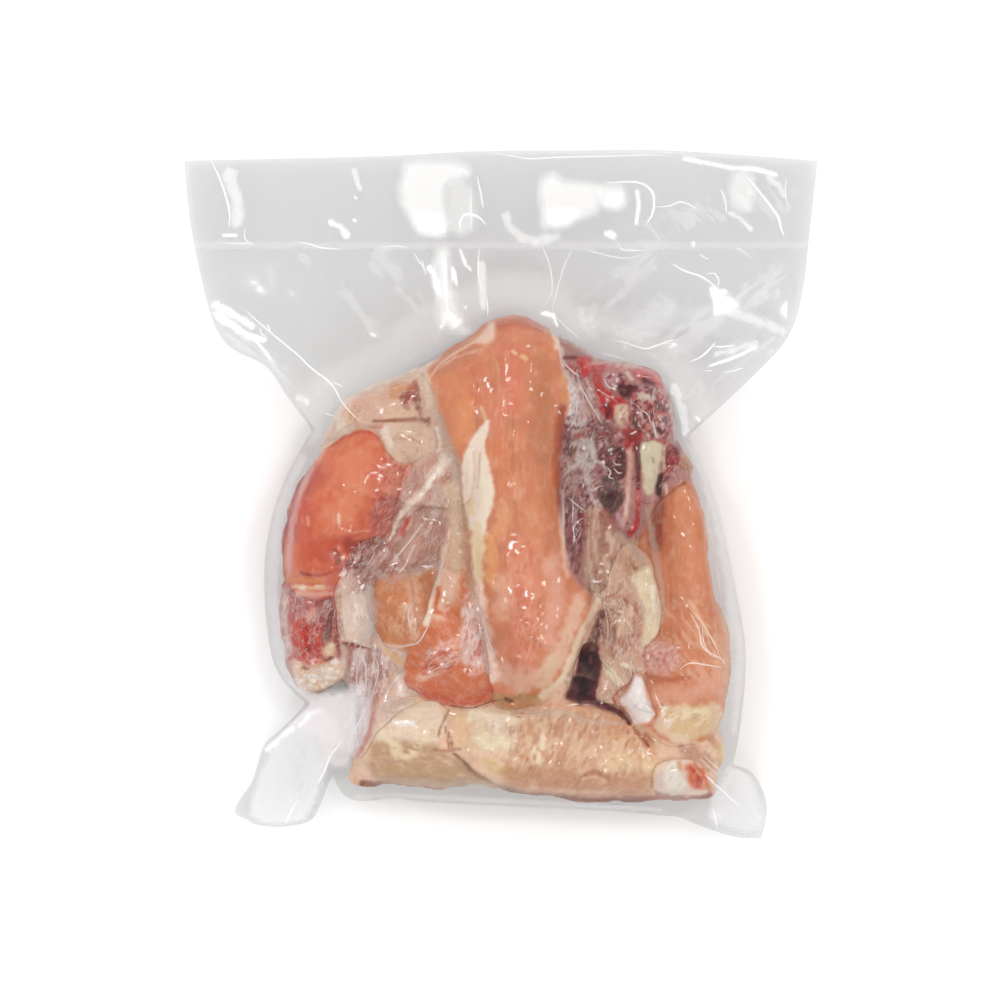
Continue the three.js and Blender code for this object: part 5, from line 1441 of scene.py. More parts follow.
white_tissue = (238, 222, 214)
pink_tissue = (222, 186, 176)
meat_strands_and_glints = [
    (white_tissue, 0.35, 0.85, [(26.6, -1.7), (30, -4.6), (33.4, -7)]),
    (white_tissue, 0.39, 0.8, [(29.6, 47), (31.4, 42), (34, 37), (37, 32), (39.5, 27.7)]),
    (white_tissue, 0.39, 0.8, [(24, 52), (28, 48), (31, 46)]),
    (white_tissue, 0.31, 0.75, [(26.4, 42), (29, 38), (29.6, 33), (29, 28)]),
    (pink_tissue, 0.31, 0.75, [(27.4, 44), (31.6, 40), (33, 34)]),
    (white_tissue, 0.39, 0.9, [(59.3, 28.6), (60.2, 25.4), (60.8, 22)]),
    (white_tissue, 0.31, 0.85, [(61.4, 30.8), (62.4, 29.4), (63, 28.2)]),
    (white_tissue, 0.31, 0.8, [(40.6, 44.8), (42.2, 42), (45.8, 40.8)]),
    (white_tissue, 0.27, 0.8, [(55, 33), (57.6, 31), (58.8, 27)]),
    (pink_tissue, 0.27, 0.8, [(52, 35.6), (54.8, 33), (55.4, 28.6)]),
    (white_tissue, 0.31, 0.8, [(41.4, 10.6), (43, 8.6), (42.4, 6.6), (44.4, 6)]),
    (white_tissue, 0.27, 0.8, [(44.4, 10), (46, 8.2), (47.6, 8.4)]),
    (white_tissue, 0.27, 0.75, [(43.6, 12.8), (45.6, 11.4), (47.4, 11.6)]),
    (pink_tissue, 0.31, 0.8, [(37.4, 41.2), (41, 39), (45.4, 36.4)]),
    (pink_tissue, 0.27, 0.8, [(50.4, 49.6), (55, 49.4), (59.6, 47.4), (63, 43)]),
    ((226, 196, 184), 0.31, 0.75, [(52.6, 46.6), (56, 46), (59.4, 45.6)]),
    (white_tissue, 0.39, 0.85, [(-30.8, -11.8), (-34, -16), (-37, -20), (-41.8, -25.7)]),
    (white_tissue, 0.31, 0.8, [(-34, -20.4), (-38, -29), (-40.6, -31)]),
    (white_tissue, 0.35, 0.8, [(-20, -18.5), (-22.6, -27), (-25, -34), (-27.4, -42)]),
    (pink_tissue, 0.31, 0.7, [(-24, -8), (-27, -16), (-29, -26)]),
    (pink_tissue, 0.27, 0.7, [(-20, -2), (-21.6, -12), (-21, -20)]),
    (white_tissue, 0.39, 0.85, [(-54.4, -62), (-53, -68), (-53, -75), (-53.4, -82)]),
    (white_tissue, 0.31, 0.8, [(-49.4, -63), (-48, -69), (-49.4, -75), (-50.6, -82)]),
    (white_tissue, 0.31, 0.75, [(-57.4, -62), (-56.4, -69), (-57, -76)]),
    (white_tissue, 0.27, 0.8, [(-43.4, -66), (-42, -68), (-41.4, -70.4)]),
    (white_tissue, 0.39, 0.85, [(-40, -60), (-33, -58.6), (-30, -54.6), (-28, -50.6)]),
    (white_tissue, 0.35, 0.8, [(-33.6, -41.6), (-36.2, -46), (-35.8, -51), (-33, -55.4)]),
    # Painted highlight: the light line along the top left of the foot breast.
    ((240, 200, 175), 0.47, 0.85, [(-43.4, -83.8), (-40, -82), (-37, -80.3), (-33, -80), (-29.4, -81.2)]),
    (white_tissue, 0.31, 0.85, [(-7, -48), (-5.4, -56), (-1.2, -66.4)]),
    (white_tissue, 0.39, 0.85, [(47.6, -82), (53, -84), (57, -85.4), (60.6, -86.5)]),
    ((232, 212, 190), 0.39, 0.8, [(38.6, -64), (42, -68), (45, -73), (44, -79)]),
    ((236, 218, 196), 0.39, 0.8, [(52, -63), (50.6, -68), (51.6, -72)]),
    ((232, 210, 188), 0.31, 0.75, [(40, -42), (42, -52), (41, -60)]),
    ((234, 212, 190), 0.31, 0.75, [(47, -40), (49.4, -48), (49, -58)]),
    ((236, 216, 192), 0.39, 0.8, [(-70, 20.6), (-66, 22.8), (-61.4, 26), (-57.4, 28.6)]),
    ((236, 214, 188), 0.31, 0.8, [(-57.8, -58.2), (-55, -59), (-51, -60.4)]),
    ((140, 104, 84), 0.27, 0.7, [(-24, -82.6), (-13, -84), (-8, -83), (-4, -81.5), (1, -80.8)]),
    ((232, 206, 180), 0.35, 0.8, [(3, -86.6), (8, -87), (13, -86.8), (22, -84.6)]),
]

# Each wrinkle field has a middle, how far it reaches, the angle of its wrinkles in degrees, how many there
# are, how long they are and their two colours. The pale wrinkles are partly white membrane and partly painted
# highlights, where fine wrinkles of the film catch the light.
wrinkle_fields = [
    ((30, 37), (4, 11), 100, 26, 4.0, white_tissue, (170, 112, 112)),
    ((59, 31), (8, 9), 120, 34, 3.4, white_tissue, (110, 58, 66)),
    ((44, 44), (5, 4), 140, 12, 2.8, white_tissue, (140, 60, 66)),
    ((58, 45), (5, 3), 150, 12, 3.0, (232, 160, 146), (110, 36, 42)),
    ((37, 24), (8, 5), 60, 20, 3.4, white_tissue, (120, 72, 74)),
    ((31, 12), (6, 9), 70, 26, 3.6, white_tissue, (110, 60, 66)),
    ((33, 0), (7, 7), 45, 24, 3.4, white_tissue, (130, 80, 82)),
    ((45, 11), (3, 5), 30, 12, 2.6, (214, 166, 160), (70, 26, 34)),
    ((29, -15), (2.4, 11), 88, 14, 4.4, white_tissue, (100, 44, 56)),
    ((48, -52), (6, 9), 80, 10, 4.4, (232, 208, 186), (180, 130, 112)),
    ((-42, -2), (7, 12), 50, 22, 3.8, (226, 176, 162), (136, 62, 64)),
    ((-53, -28), (6, 8), 60, 22, 4.0, (236, 206, 198), (140, 62, 64)),
    ((-31, -18), (9, 11), 60, 12, 5.0, (230, 206, 194), (170, 120, 110)),
    ((-10, -55), (4, 12), 84, 18, 4.0, white_tissue, (190, 100, 88)),
    ((-23, -65), (8, 5), 28, 20, 4.4, white_tissue, (180, 84, 66)),
    ((-52, -72), (6, 12), 84, 14, 5.0, white_tissue, (170, 116, 112)),
    ((-75, -50), (5, 9), 100, 14, 3.4, (224, 140, 124), (120, 46, 48)),
    ((-74, -71), (7, 4), 20, 8, 3.2, (242, 228, 216), (206, 156, 124)),
    # In these three fields, on the right and middle breasts, the pale wrinkles are painted highlights of fine
    # film wrinkles.
    ((62, -64), (6, 6), 50, 14, 2.6, (236, 200, 188), (190, 110, 106)),
    ((79, -54), (7, 10), -54, 8, 8.0, (240, 206, 178), (214, 150, 118)),
    ((10, -52), (9, 14), 84, 12, 3.6, (234, 176, 152), (204, 120, 96)),
]
pale_share = 0.72
dice = np.random.default_rng(7)
for middle, reach, angle, count, long, pale, dark in wrinkle_fields:
    for _ in range(count):
        spin, far = dice.uniform(0, 2 * np.pi), dice.uniform(0, 1) ** 0.5
        x, y = middle[0] + far * reach[0] * np.cos(spin), middle[1] + far * reach[1] * np.sin(spin)
        bends = np.radians(angle) + dice.normal(0, 0.3) + np.cumsum(dice.normal(0, 0.3, 3))
        steps = long * dice.uniform(0.4, 1.2) / 3
        run = [(x, y)]
        for bend in bends:
            run.append((run[-1][0] + steps * np.cos(bend), run[-1][1] + steps * np.sin(bend)))
        if dice.uniform() < pale_share:
            meat_strands_and_glints.append((pale, dice.uniform(0.12, 0.30), dice.uniform(0.2, 0.7), run))
        else:
            meat_strands_and_glints.append((dark, dice.uniform(0.12, 0.34), dice.uniform(0.1, 0.35), run))
strand_lift = 0.06
strand_level = skin_level + strand_lift
strands("membrane_strands", strand_level, meat_x, meat_y, meat_strands_and_glints, under_film,
        see_through("strand_tissue", 0.35), 0.35, 121)

# The film: the clear bag, two sheets of soft plastic welded at the edges and drawn down tight
# on the meat by the vacuum. Its flap lies flat and creased round the meat.
film_gap = 0.45
film_thick = 0.14
weld_half = 0.16
grown = skin_level.copy()
for side in (0, 1):
    for shift in (1, -1):
        grown = np.maximum(grown, np.roll(skin_level, shift, side))
sheet_gx, sheet_gy = np.meshgrid(sheet_x, sheet_y, indexing="ij")
meat_below = between(grown, meat_x, meat_y, sheet_gx, sheet_gy)
flange = (form_top + form_under) / 2
full = form_top - form_under > 4.0
over_meat = ((sheet_gx > meat_x[0]) & (sheet_gx < meat_x[-1])
             & (sheet_gy > meat_y[0]) & (sheet_gy < meat_y[-1]))
bulk = over_meat & (meat_below > form_under + 1.2)
floor_height = np.where(bulk, meat_below + film_gap, flange + weld_half)
upper_height = np.where(bulk, np.maximum(floor_height, form_top), floor_height)
loose = full | bulk
settling_rounds = 240
pull = 0.05
for _ in range(settling_rounds):
    mean = sum(np.roll(upper_height, s, k) for s in (1, -1) for k in (0, 1)) / 4
    upper_height = np.where(loose, np.maximum(floor_height, mean - pull), upper_height)
lower_height = np.where(loose, form_under + 0.12, flange - weld_half)

film_folds = [
    (0.5, 1.6, [(-90, 63), (-80, 54.5), (-70, 46), (-67, 43.5)]),
    (0.5, 2.0, [(-22, 92), (-21.6, 82), (-19, 72)]),
    (0.3, 1.6, [(-114, 131), (-110, 123), (-107, 112), (-107, 104)]),
    (0.3, 1.4, [(42, 60.4), (53, 57.8), (60, 57.8), (70, 60.5)]),
    (0.4, 1.2, [(-66, -101), (-70, -110), (-72, -114)]),
    (0.4, 1.2, [(82, -112), (88, -117.5), (94, -122.5)]),
]
wave_x, wave_y = seen(sheet_gx, sheet_gy, upper_height)
buckle = (0.22 * ripple(sheet_gx, sheet_gy, 0, 9.0, 101)
          + 0.10 * ripple(sheet_gx, sheet_gy, 0, 4.0, 102))
upper_height = upper_height + np.abs(buckle) * np.where(loose, 1.0, 0.8)
for height, half, path in film_folds:
    gap, _ = away(wave_x, wave_y, path)
    upper_height += height * smooth(1 - gap / half)


def bag_outline():
    """The edge of the bag, from the mouth round its wings, sides and tails."""
    stretches = [
        [(-125, 131.5), (-49, 133.3), (-9, 135.2), (30, 135.5), (68, 135.5), (125, 131.5)],
        [(125, 131.5), (122, 105), (119, 80), (113, 62), (98, 45.5), (73, 22.5)],
        [(73, 22.5), (83.5, -3), (91, -35), (95.5, -62), (93.5, -90), (90.5, -105.5)],
        [(90.5, -105.5), (98, -109), (103, -117), (104.5, -125), (102.5, -135.5)],
        [(102.5, -135.5), (94.5, -135), (85, -132.5), (69, -126)],
        [(69, -126), (36, -123.5), (-27.5, -120.5), (-41.5, -119), (-56.5, -120), (-63, -116),
         (-66, -108.5)],
        [(-66, -108.5), (-71.5, -123), (-77, -129.5), (-93.5, -131), (-105, -125.5), (-98, -113),
         (-93.5, -99.5), (-87.5, -93.5), (-76, -82)],
        [(-76, -82), (-88.5, -67), (-92.5, -35.5), (-89.5, -9), (-82, 10.5), (-73.5, 25)],
        [(-73.5, 25), (-83.5, 38), (-92, 50), (-107.5, 58.5), (-115, 73), (-122, 103),
         (-125, 131.5)],
    ]
    return np.vstack([rounded(stretch, closed=False, per_span=6)[:-1] for stretch in stretches])


def sheet_mesh(name, height, thick, every, material):
    """One film sheet as a closed thin shell over the board, cut to the bag's outline."""
    gx, gy = sheet_gx[::every, ::every], sheet_gy[::every, ::every]
    level = height[::every, ::every]
    depth = depth_inside(gx, gy, bag_outline())
    slope_x, slope_y = np.gradient(depth, sheet_step * every)
    steep = np.maximum(slope_x ** 2 + slope_y ** 2, 0.25)
    middle = (depth[:-1, :-1] + depth[1:, :-1] + depth[:-1, 1:] + depth[1:, 1:]) / 4
    points, faces, _ = slab(filled(middle > 0), gx, gy, level, level - thick,
                            gx - depth * slope_x / steep, gy - depth * slope_y / steep)
    belongs(object_of(name, points, faces, material))


def clear_film(name, haze, passed, gloss=0.12):
    """Clear soft plastic: it passes most light, mirrors the lamps and is a little milky. It
    has no pattern, because its creases are in the mesh."""
    r = Recipe(name)
    clear = r.node("ShaderNodeBsdfTransparent", None, {"Color": (passed, passed, passed, 1.0)})
    r.feed(Base_Color=(0.80, 0.81, 0.83, 1.0), Roughness=0.4)
    milky = r.node("ShaderNodeMixShader", None,
                   {0: haze, 1: clear.outputs[0], 2: r.shader.outputs[0]})
    facing = Value(r, r.node("ShaderNodeLayerWeight", None, {"Blend": 0.5}).outputs["Facing"])
    shine = r.node("ShaderNodeBsdfAnisotropic", None, {"Color": (1, 1, 1, 1), "Roughness": gloss})
    coated = r.node("ShaderNodeMixShader", None,
                    {0: facing ** 5 * 0.3 + 0.008, 1: milky.outputs[0], 2: shine.outputs[0]})
    r.tree.links.new(coated.outputs[0], r.output.inputs["Surface"])
    return r.material


sheet_mesh("lower_film", lower_height, film_thick, 2, clear_film("lower_bag_film", 0.001, 0.912))
sheet_mesh("upper_film", upper_height, film_thick, 1, clear_film("upper_bag_film", 0.001, 0.972))


# The film's milky places and painted reflections: grey or milky where the soft plastic is stretched, doubled
# or stands off the meat, white where reflections and highlights of the lamps are painted on it, with darker
# grey lines along its edges. They lie on the upper sheet, as thin as breath.
def on_film(tone):
    """The colour of a patch painted on the film, milky grey, painted highlight and painted reflection alike,
    that looks like tone, from 0 to 255.
    """
    return np.clip((np.clip(tone, 0, 255) / 255) ** screen_gamma, 0, 0.97)


shine = (252, 251, 250)
bright = (245, 244, 243)
pale_grey = (236, 235, 234)
soft_grey = (229, 228, 227)
dull_grey = (213, 212, 212)
milky_film_and_painted_reflections = [
    (dull_grey, 8, 0, 0.25, [(30, 66), (60, 70), (100, 66)]),
    (dull_grey, 7, 0, 0.45, [(50, 62), (60, 68), (64, 73)]),
    (soft_grey, 2.2, 0, 0.2, [(-120, 97.5), (-60, 97.5), (0, 97.5), (60, 97.5), (118, 97.5)]),
    # Painted reflections and highlights of the lamps: the bright and shine marks from here to the band round
    # the meat are window-like patches on the flap and streaks along its folds, with milky greys among them.
    (pale_grey, 3.6, 0, 0.6, [(-107, 126), (-103.6, 116), (-103.6, 107)]),
    (bright, 0.9, 0, 0.8, [(-109, 101.5), (-104, 101.5)]),
    (bright, 2.0, 0, 0.85, [(-66.5, 106.5), (-63, 104.6), (-61, 101.6)]),
    (pale_grey, 1.6, 0, 0.6, [(-57.6, 127), (-55.6, 120)]),
    (bright, 0.9, 0, 0.8, [(-57.3, 116.5), (-56.8, 116)]),
    (bright, 0.8, 0, 0.8, [(-57.8, 107.5), (-57.2, 107.2)]),
    (bright, -4.2, 0, 0.6, [(-36, 130), (-38.5, 125), (-40, 118), (-38, 112), (-35, 106), (-31, 102.5),
                          (-25, 101.7), (-21.5, 102.5), (-21.5, 110), (-22, 118), (-20, 122),
                          (-14, 124.5), (-12, 126.5), (-15, 129.5), (-20, 130.5)]),
    (shine, -4.2, 0, 0.6, [(-34, 109), (-24, 109), (-23, 103), (-31, 103)]),
    (soft_grey, -4.2, 0, 0.5, [(-20.4, 121), (-12, 121), (-11, 104), (-20, 103.6)]),
    (bright, -4.2, 0, 0.6, [(-25, 95), (-21, 95.5), (-21, 88), (-20, 82), (-18, 76), (-15.5, 68),
                          (-13.5, 63.5), (-18, 64.5), (-23.5, 67), (-24.5, 75), (-25.5, 85)]),
    (shine, 0.8, 0, 0.85, [(-22.4, 92), (-22, 82), (-21, 72)]),
    (shine, 2.4, 0, 0.8, [(-20.4, 70), (-17.6, 67)]),
    (pale_grey, 2.0, 0, 0.6, [(-7.6, 90), (-7, 82), (-7, 73)]),
    (bright, 1.0, 0, 0.7, [(-16, 96), (-14, 90), (-12, 88)]),
    (shine, (2.2, 1.4), 0, 0.85, [(-116, 72), (-105, 66), (-100, 62.4), (-93, 60.6)]),
    (bright, 2.2, 0, 0.7, [(-112, 74), (-104, 70), (-98, 66)]),
    (bright, 2.0, 0, 0.5, [(-79, 37.6), (-76.6, 36.2)]),
    ((232, 230, 229), -9, 0, 0.32, [(-74, 20), (-62, 36), (-46, 44), (-20, 60), (0, 73), (22, 64), (40, 54),
                                   (60, 48), (70, 34), (76, 16), (84, 30), (76, 50), (58, 64), (34, 72),
                                   (20, 84), (-4, 86), (-28, 74), (-50, 60), (-70, 48), (-82, 30)]),
    # Soft lighter flecks on the broad facets of the creased flap: painted reflections.
    (pale_grey, 7, 0, 0.18, [(-76, 92), (-60, 74), (-52, 64)], (14.0, 3.0, -50, 0.5)),
    (pale_grey, 8, 0, 0.18, [(-48, 92), (-38, 78), (-30, 66)], (14.0, 3.0, -55, 0.5)),
    (pale_grey, 7, 0, 0.25, [(-104, 60), (-88, 46), (-78, 30)], (16.0, 2.4, -48, 0.5)),
    (pale_grey, 8, 0, 0.2, [(36, 70), (48, 84), (58, 92)], (14.0, 3.0, 42, 0.5)),
    (pale_grey, 8, 0, 0.22, [(70, 60), (88, 72), (108, 84)], (16.0, 2.6, 38, 0.5)),
    (pale_grey, 7, 0, 0.2, [(76, 40), (90, 52), (104, 62)], (12.0, 2.0, 42, 0.5)),
    (pale_grey, 8, 0, 0.2, [(60, 104), (84, 112), (112, 116)], (9.0, 2.2, 130, 0.42)),
    # Painted reflections and highlights of the lamps again: bright and shine patches on the flap and along
    # its folds.
    (bright, 1.2, 0, 0.8, [(-50.6, 62.8), (-49.6, 62.2)]),
    (bright, 1.3, 0, 0.75, [(72, 131.5), (80, 130), (90, 128), (100, 127.5), (108, 125)]),
    (bright, -4.2, 0, 0.6, [(15, 121), (20, 125.5), (25, 123), (38, 121), (38, 111), (33, 109), (28, 107),
                         (21, 105), (17, 104), (16, 110)]),
    (shine, -4.2, 0, 0.6, [(19, 110.5), (28, 111), (28, 107), (21, 104.6)]),
    (pale_grey, -4.2, 0, 0.55, [(38, 121), (48, 120), (48, 113), (40, 113)]),
    (bright, -4.2, 0, 0.6, [(41, 118.4), (47.6, 118), (48, 113), (41.4, 113)]),
    (bright, 1.0, 0, 0.75, [(53.5, 118.4), (54, 113), (53, 106)]),
    (soft_grey, 2.6, 0, 0.6, [(1.6, 109), (4, 104), (8, 100.4), (14, 99.4), (21, 101)]),
    (bright, 2.4, 0, 0.8, [(42.4, 102.4), (43.8, 101.6)]),
    (bright, 1.0, 0, 0.75, [(75.4, 98.6), (75.6, 97.6)]),
    (pale_grey, -4.2, 0, 0.55, [(91, 126), (96, 127), (99, 123), (99, 113), (96, 111), (92, 112), (90, 118)]),
    (soft_grey, 1.6, 0, 0.6, [(105, 124), (109, 121), (111, 117)]),
    (pale_grey, 1.4, 0, 0.6, [(90, 110), (94, 108), (98, 104)]),
    (soft_grey, 2.6, 0, 0.6, [(88, 72), (100, 68), (110, 64)]),
    (shine, (1.5, 0.8), 0, 0.85, [(16.8, 71), (20.5, 70), (22, 66)]),
    (pale_grey, 2.0, 0, 0.5, [(85, 55), (92, 57), (100, 59)]),
    ((230, 229, 229), 2.4, 0, 0.7, [(68, 42), (71, 34), (73, 24)]),
    ((240, 239, 239), -2.5, 0, 0.55, [(-64, -94), (-70, -112), (-78, -128), (-98, -127), (-92, -104), (-82,
     -88),
                             (-70, -84)]),
    ((214, 210, 212), (4.0, 3.0), 0, 0.45, [(-79, 14), (-84.6, 2), (-88.4, -14), (-90, -36), (-88, -56),
                                           (-84, -74)]),
    ((228, 222, 224), -3.5, 0, 0.7, [(-85, -73), (-72, -79), (-60, -77), (-57, -84), (-58, -100), (-70, -96),
                                     (-87, -86)]),
    ((220, 219, 219), (3.5, 4.0), 0, 0.4, [(77, 18), (84, -4), (90, -30), (94, -60), (93, -92)]),
    ((226, 226, 226), 1.6, 0, 0.3, [(-58, -119.6), (-40, -118.6), (-20, -119.4), (10, -121), (40, -123),
                                    (62, -124)]),
    (dull_grey, 2.6, 0, 0.6, [(-78, -100), (-80, -112), (-79, -117)]),
    # Painted highlights: two bright streaks on the left tail.
    (bright, 2.0, 0, 0.7, [(-92, -100), (-87, -95.5), (-82, -92)]),
    (bright, 1.6, 0, 0.7, [(-79, -91), (-75, -86.5), (-71, -85)]),
    ((204, 203, 203), 1.2, 0, 0.7, [(-96.5, -102), (-99.6, -112), (-103, -119)]),
    ((196, 195, 195), 0.8, 0, 0.7, [(-94, -130), (-84, -130.2)]),
    ((202, 201, 201), 1.0, 0, 0.7, [(-75.4, -127), (-70.4, -118), (-68, -112)]),
    ((226, 217, 218), -2.5, 0, 0.6, [(-74, -82), (-61, -80), (-57, -92), (-60, -106), (-68, -104)]),
    ((232, 230, 231), -2.5, 0, 0.55, [(90, -107), (94, -107), (100, -115), (102, -131), (89, -130), (81,
     -125)]),
    ((204, 203, 203), 0.9, 0, 0.7, [(71, -127.4), (80, -130.2), (90, -133), (98, -135)]),
]
gleam = see_through("gleam", 0.3)
place_step = 0.6
place_x = np.arange(-126.0, 126.1, place_step)
place_y = np.arange(-136.5, 136.6, place_step)
place_gx, place_gy = np.meshgrid(place_x, place_y, indexing="ij")
film_level = between(upper_height, sheet_x, sheet_y, place_gx, place_gy) + 0.10
inside = smooth(depth_inside(place_gx, place_gy, bag_outline()) / 1.5 - 0.3)
veil("milky_film_and_painted_reflections", "film", place_x, place_y, film_level, milky_film_and_painted_reflections,
     ((230, 230, 230), 0.0), inside, on_film, gleam, 131)
# It casts no shadow, because shadows through so thin a layer hardly show and take long.
bpy.data.objects["milky_film_and_painted_reflections"].visible_shadow = False

# The glints: painted highlights, soft bright spots where the wet film puckers over the meat and mirrors the
# lamps. Each has a place, a size, the angle it is drawn out along and how light it is, from pink at 0 to
# white at 1.
spots = [
    (4.2, -20, 2.0, 70, 1.0), (6.2, -22.6, 1.3, 125, 1.0), (5.4, -19, 1.2, 10, 0.9), (8.7, -20.7, 1.0, 0,
                                                                                      0.6),
    (2.8, -23.6, 1.1, 60, 0.3), (5, -16, 1.1, 0, 0.2), (3.3, -37.4, 1.3, 120, 1.0), (3.9, -38.4, 1.0, 70,
                                                                                     0.9),
    (6.8, -35.8, 1.1, 35, 0.3), (9.9, -39, 1.5, 80, 1.0), (12.4, -39.4, 0.8, -30, 0.8),
    (12.6, -40.8, 0.9, 30, 0.7), (9.3, -44.7, 1.0, 0, 0.8), (8, -49.5, 0.8, 0, 0.1), (10.4, -50.7, 0.9, -30,
                                                                                      0.2),
    (18, -52, 1.4, 80, 0.4), (11.7, -56.3, 1.0, 20, 0.0), (15, -56.7, 1.0, 0, 0.0), (7.3, -63.8, 1.3, -15,
                                                                                     0.1),
    (3, 4, 1.1, 65, 0.3), (4.2, 3.6, 1.0, 60, 0.3), (5.3, 4.2, 0.9, 80, 0.2), (22.4, -45, 0.9, 80, 0.3),
    (22, -48, 0.9, 80, 0.4), (22.8, -33.6, 1.3, 75, 0.5), (-3, -34.3, 1.2, 100, 0.1), (1.8, -41.5, 1.2, 95,
                                                                                       0.3),
    (-8.1, -52.5, 0.8, 90, 1.0), (-8, -54, 0.6, 90, 1.0), (-9, -45, 1.1, 110, 0.8), (15.6, -44, 0.9, 80, 0.1),
    (16.4, -47, 0.9, 60, 0.1), (14.6, -49.4, 0.8, 60, 0.1), (-6, 45, 1.2, 70, 0.9), (-5, 42.8, 1.5, 100, 1.0),
    (-3.8, 40.8, 1.2, 60, 0.7), (10.8, 58, 1.0, 0, 0.5), (16, 39, 1.1, 80, 0.5), (4, 35.4, 0.9, 0, 0.3),
    (-45.6, -21.8, 1.2, 60, 0.8), (-54.2, -36.2, 1.4, 50, 0.9), (-55.6, -34.6, 0.9, 110, 0.7),
    (-14, -68.8, 0.9, 60, 0.5), (-10.6, -66.6, 0.8, 80, 0.4), (-27.4, -11.4, 0.8, 40, 0.6),
    (-46.5, -66.5, 0.8, 60, 0.5), (56, -103, 1.0, 60, 0.6), (57.8, -100.6, 0.8, 30, 0.5), (46.4, -46.3, 0.7,
                                                                                           0, 0.8),
    (48.6, -49.7, 0.6, 40, 0.8), (33, 50, 0.7, 0, 0.4), (54, 46.4, 0.7, 30, 0.5), (47, 30.4, 0.8, 70, 0.6),
    (32.6, 18, 0.9, 70, 0.8), (30, -11, 0.6, 80, 0.8), (51.4, -13, 0.5, 60, 0.6), (3, -88.4, 1.2, 30, 0.8),
    (-37, -89.4, 1.3, 5, 1.0), (-40.6, -89.8, 1.0, 10, 0.9), (27, -88.6, 0.9, 80, 0.5), (36, -93, 0.8, 80,
                                                                                         0.4),
    (63.4, -85, 1.0, 70, 0.7), (65.6, -89, 0.8, 60, 0.6), (-33, -45, 0.9, 80, 0.4), (-33.6, -49.4, 1.1, 80,
                                                                                     0.5),
    (-22.2, -39, 1.4, 82, 1.0), (-22.8, -41.8, 0.9, 95, 1.0), (-27, -46, 1.2, 45, 1.0), (-19.2, -36, 0.6,
                                                                                         80, 0.7),
    (-20.8, -42.6, 0.6, 75, 0.6), (-26, -62.4, 1.0, 35, 0.8), (-21, -61, 1.0, 30, 0.8), (-23, -66.8, 1.0,
                                                                                         20, 0.8),
    (-28, -69.8, 0.9, 25, 0.7), (-16, -22.8, 0.9, 0, 0.2), (-16.8, -15.6, 1.0, 0, 0.4), (-39.4, -76, 1.6,
                                                                                         80, 0.6),
    (-75, -42.6, 1.1, -8, 0.5), (-44, 11.4, 1.0, -10, 0.8), (-47, 7, 1.1, -25, 0.7), (-48.6, 1.4, 1.0, 10,
                                                                                      0.7),
    (-40, 1.8, 0.9, -15, 0.6), (-57.2, 1, 0.7, 0, 0.4), (71.4, -16, 1.0, -55, 0.8), (74.4, -20.8, 0.8, -58,
                                                                                     0.7),
    (71, -40.8, 0.8, -60, 0.6), (73, -44, 0.7, -52, 0.5), (57.8, -64, 1.2, 85, 0.3), (69.6, -60.4, 0.8, 0,
                                                                                      0.4),
    (21.6, 34.6, 0.8, 0, 0.7), (23, 32, 0.8, 120, 0.6), (44, 46.8, 0.7, 0, 0.8), (44, 38, 0.7, -30, 0.5),
]
glints = []
for x, y, size, turn, light in spots:
    tone = np.array((238, 188, 164)) * (1 - light) + np.array((250, 244, 242)) * light
    run = 0.5 * size * np.array((np.cos(np.radians(turn)), np.sin(np.radians(turn))))
    side = 0.3 * np.array((-run[1], run[0]))
    glints.append((tone, (0.55 * size, 0.38 * size), 0, 0.55 + 0.35 * light,
                   [(x - run[0], y - run[1]), (x + side[0], y + side[1]), (x + run[0], y + run[1])]))
glint_step = 0.42
glint_x = np.arange(-92.0, 92.1, glint_step)
glint_y = np.arange(-121.0, 74.0, glint_step)
glint_gx, glint_gy = np.meshgrid(glint_x, glint_y, indexing="ij")
glint_level = between(upper_height, sheet_x, sheet_y, glint_gx, glint_gy) + 0.16
veil("glints", "film", glint_x, glint_y, glint_level, glints, ((250, 250, 251), 0.0), 1.0,
     on_film, gleam, 141)
# It casts no shadow, because shadows through so thin a layer hardly show and take long.
bpy.data.objects["glints"].visible_shadow = False
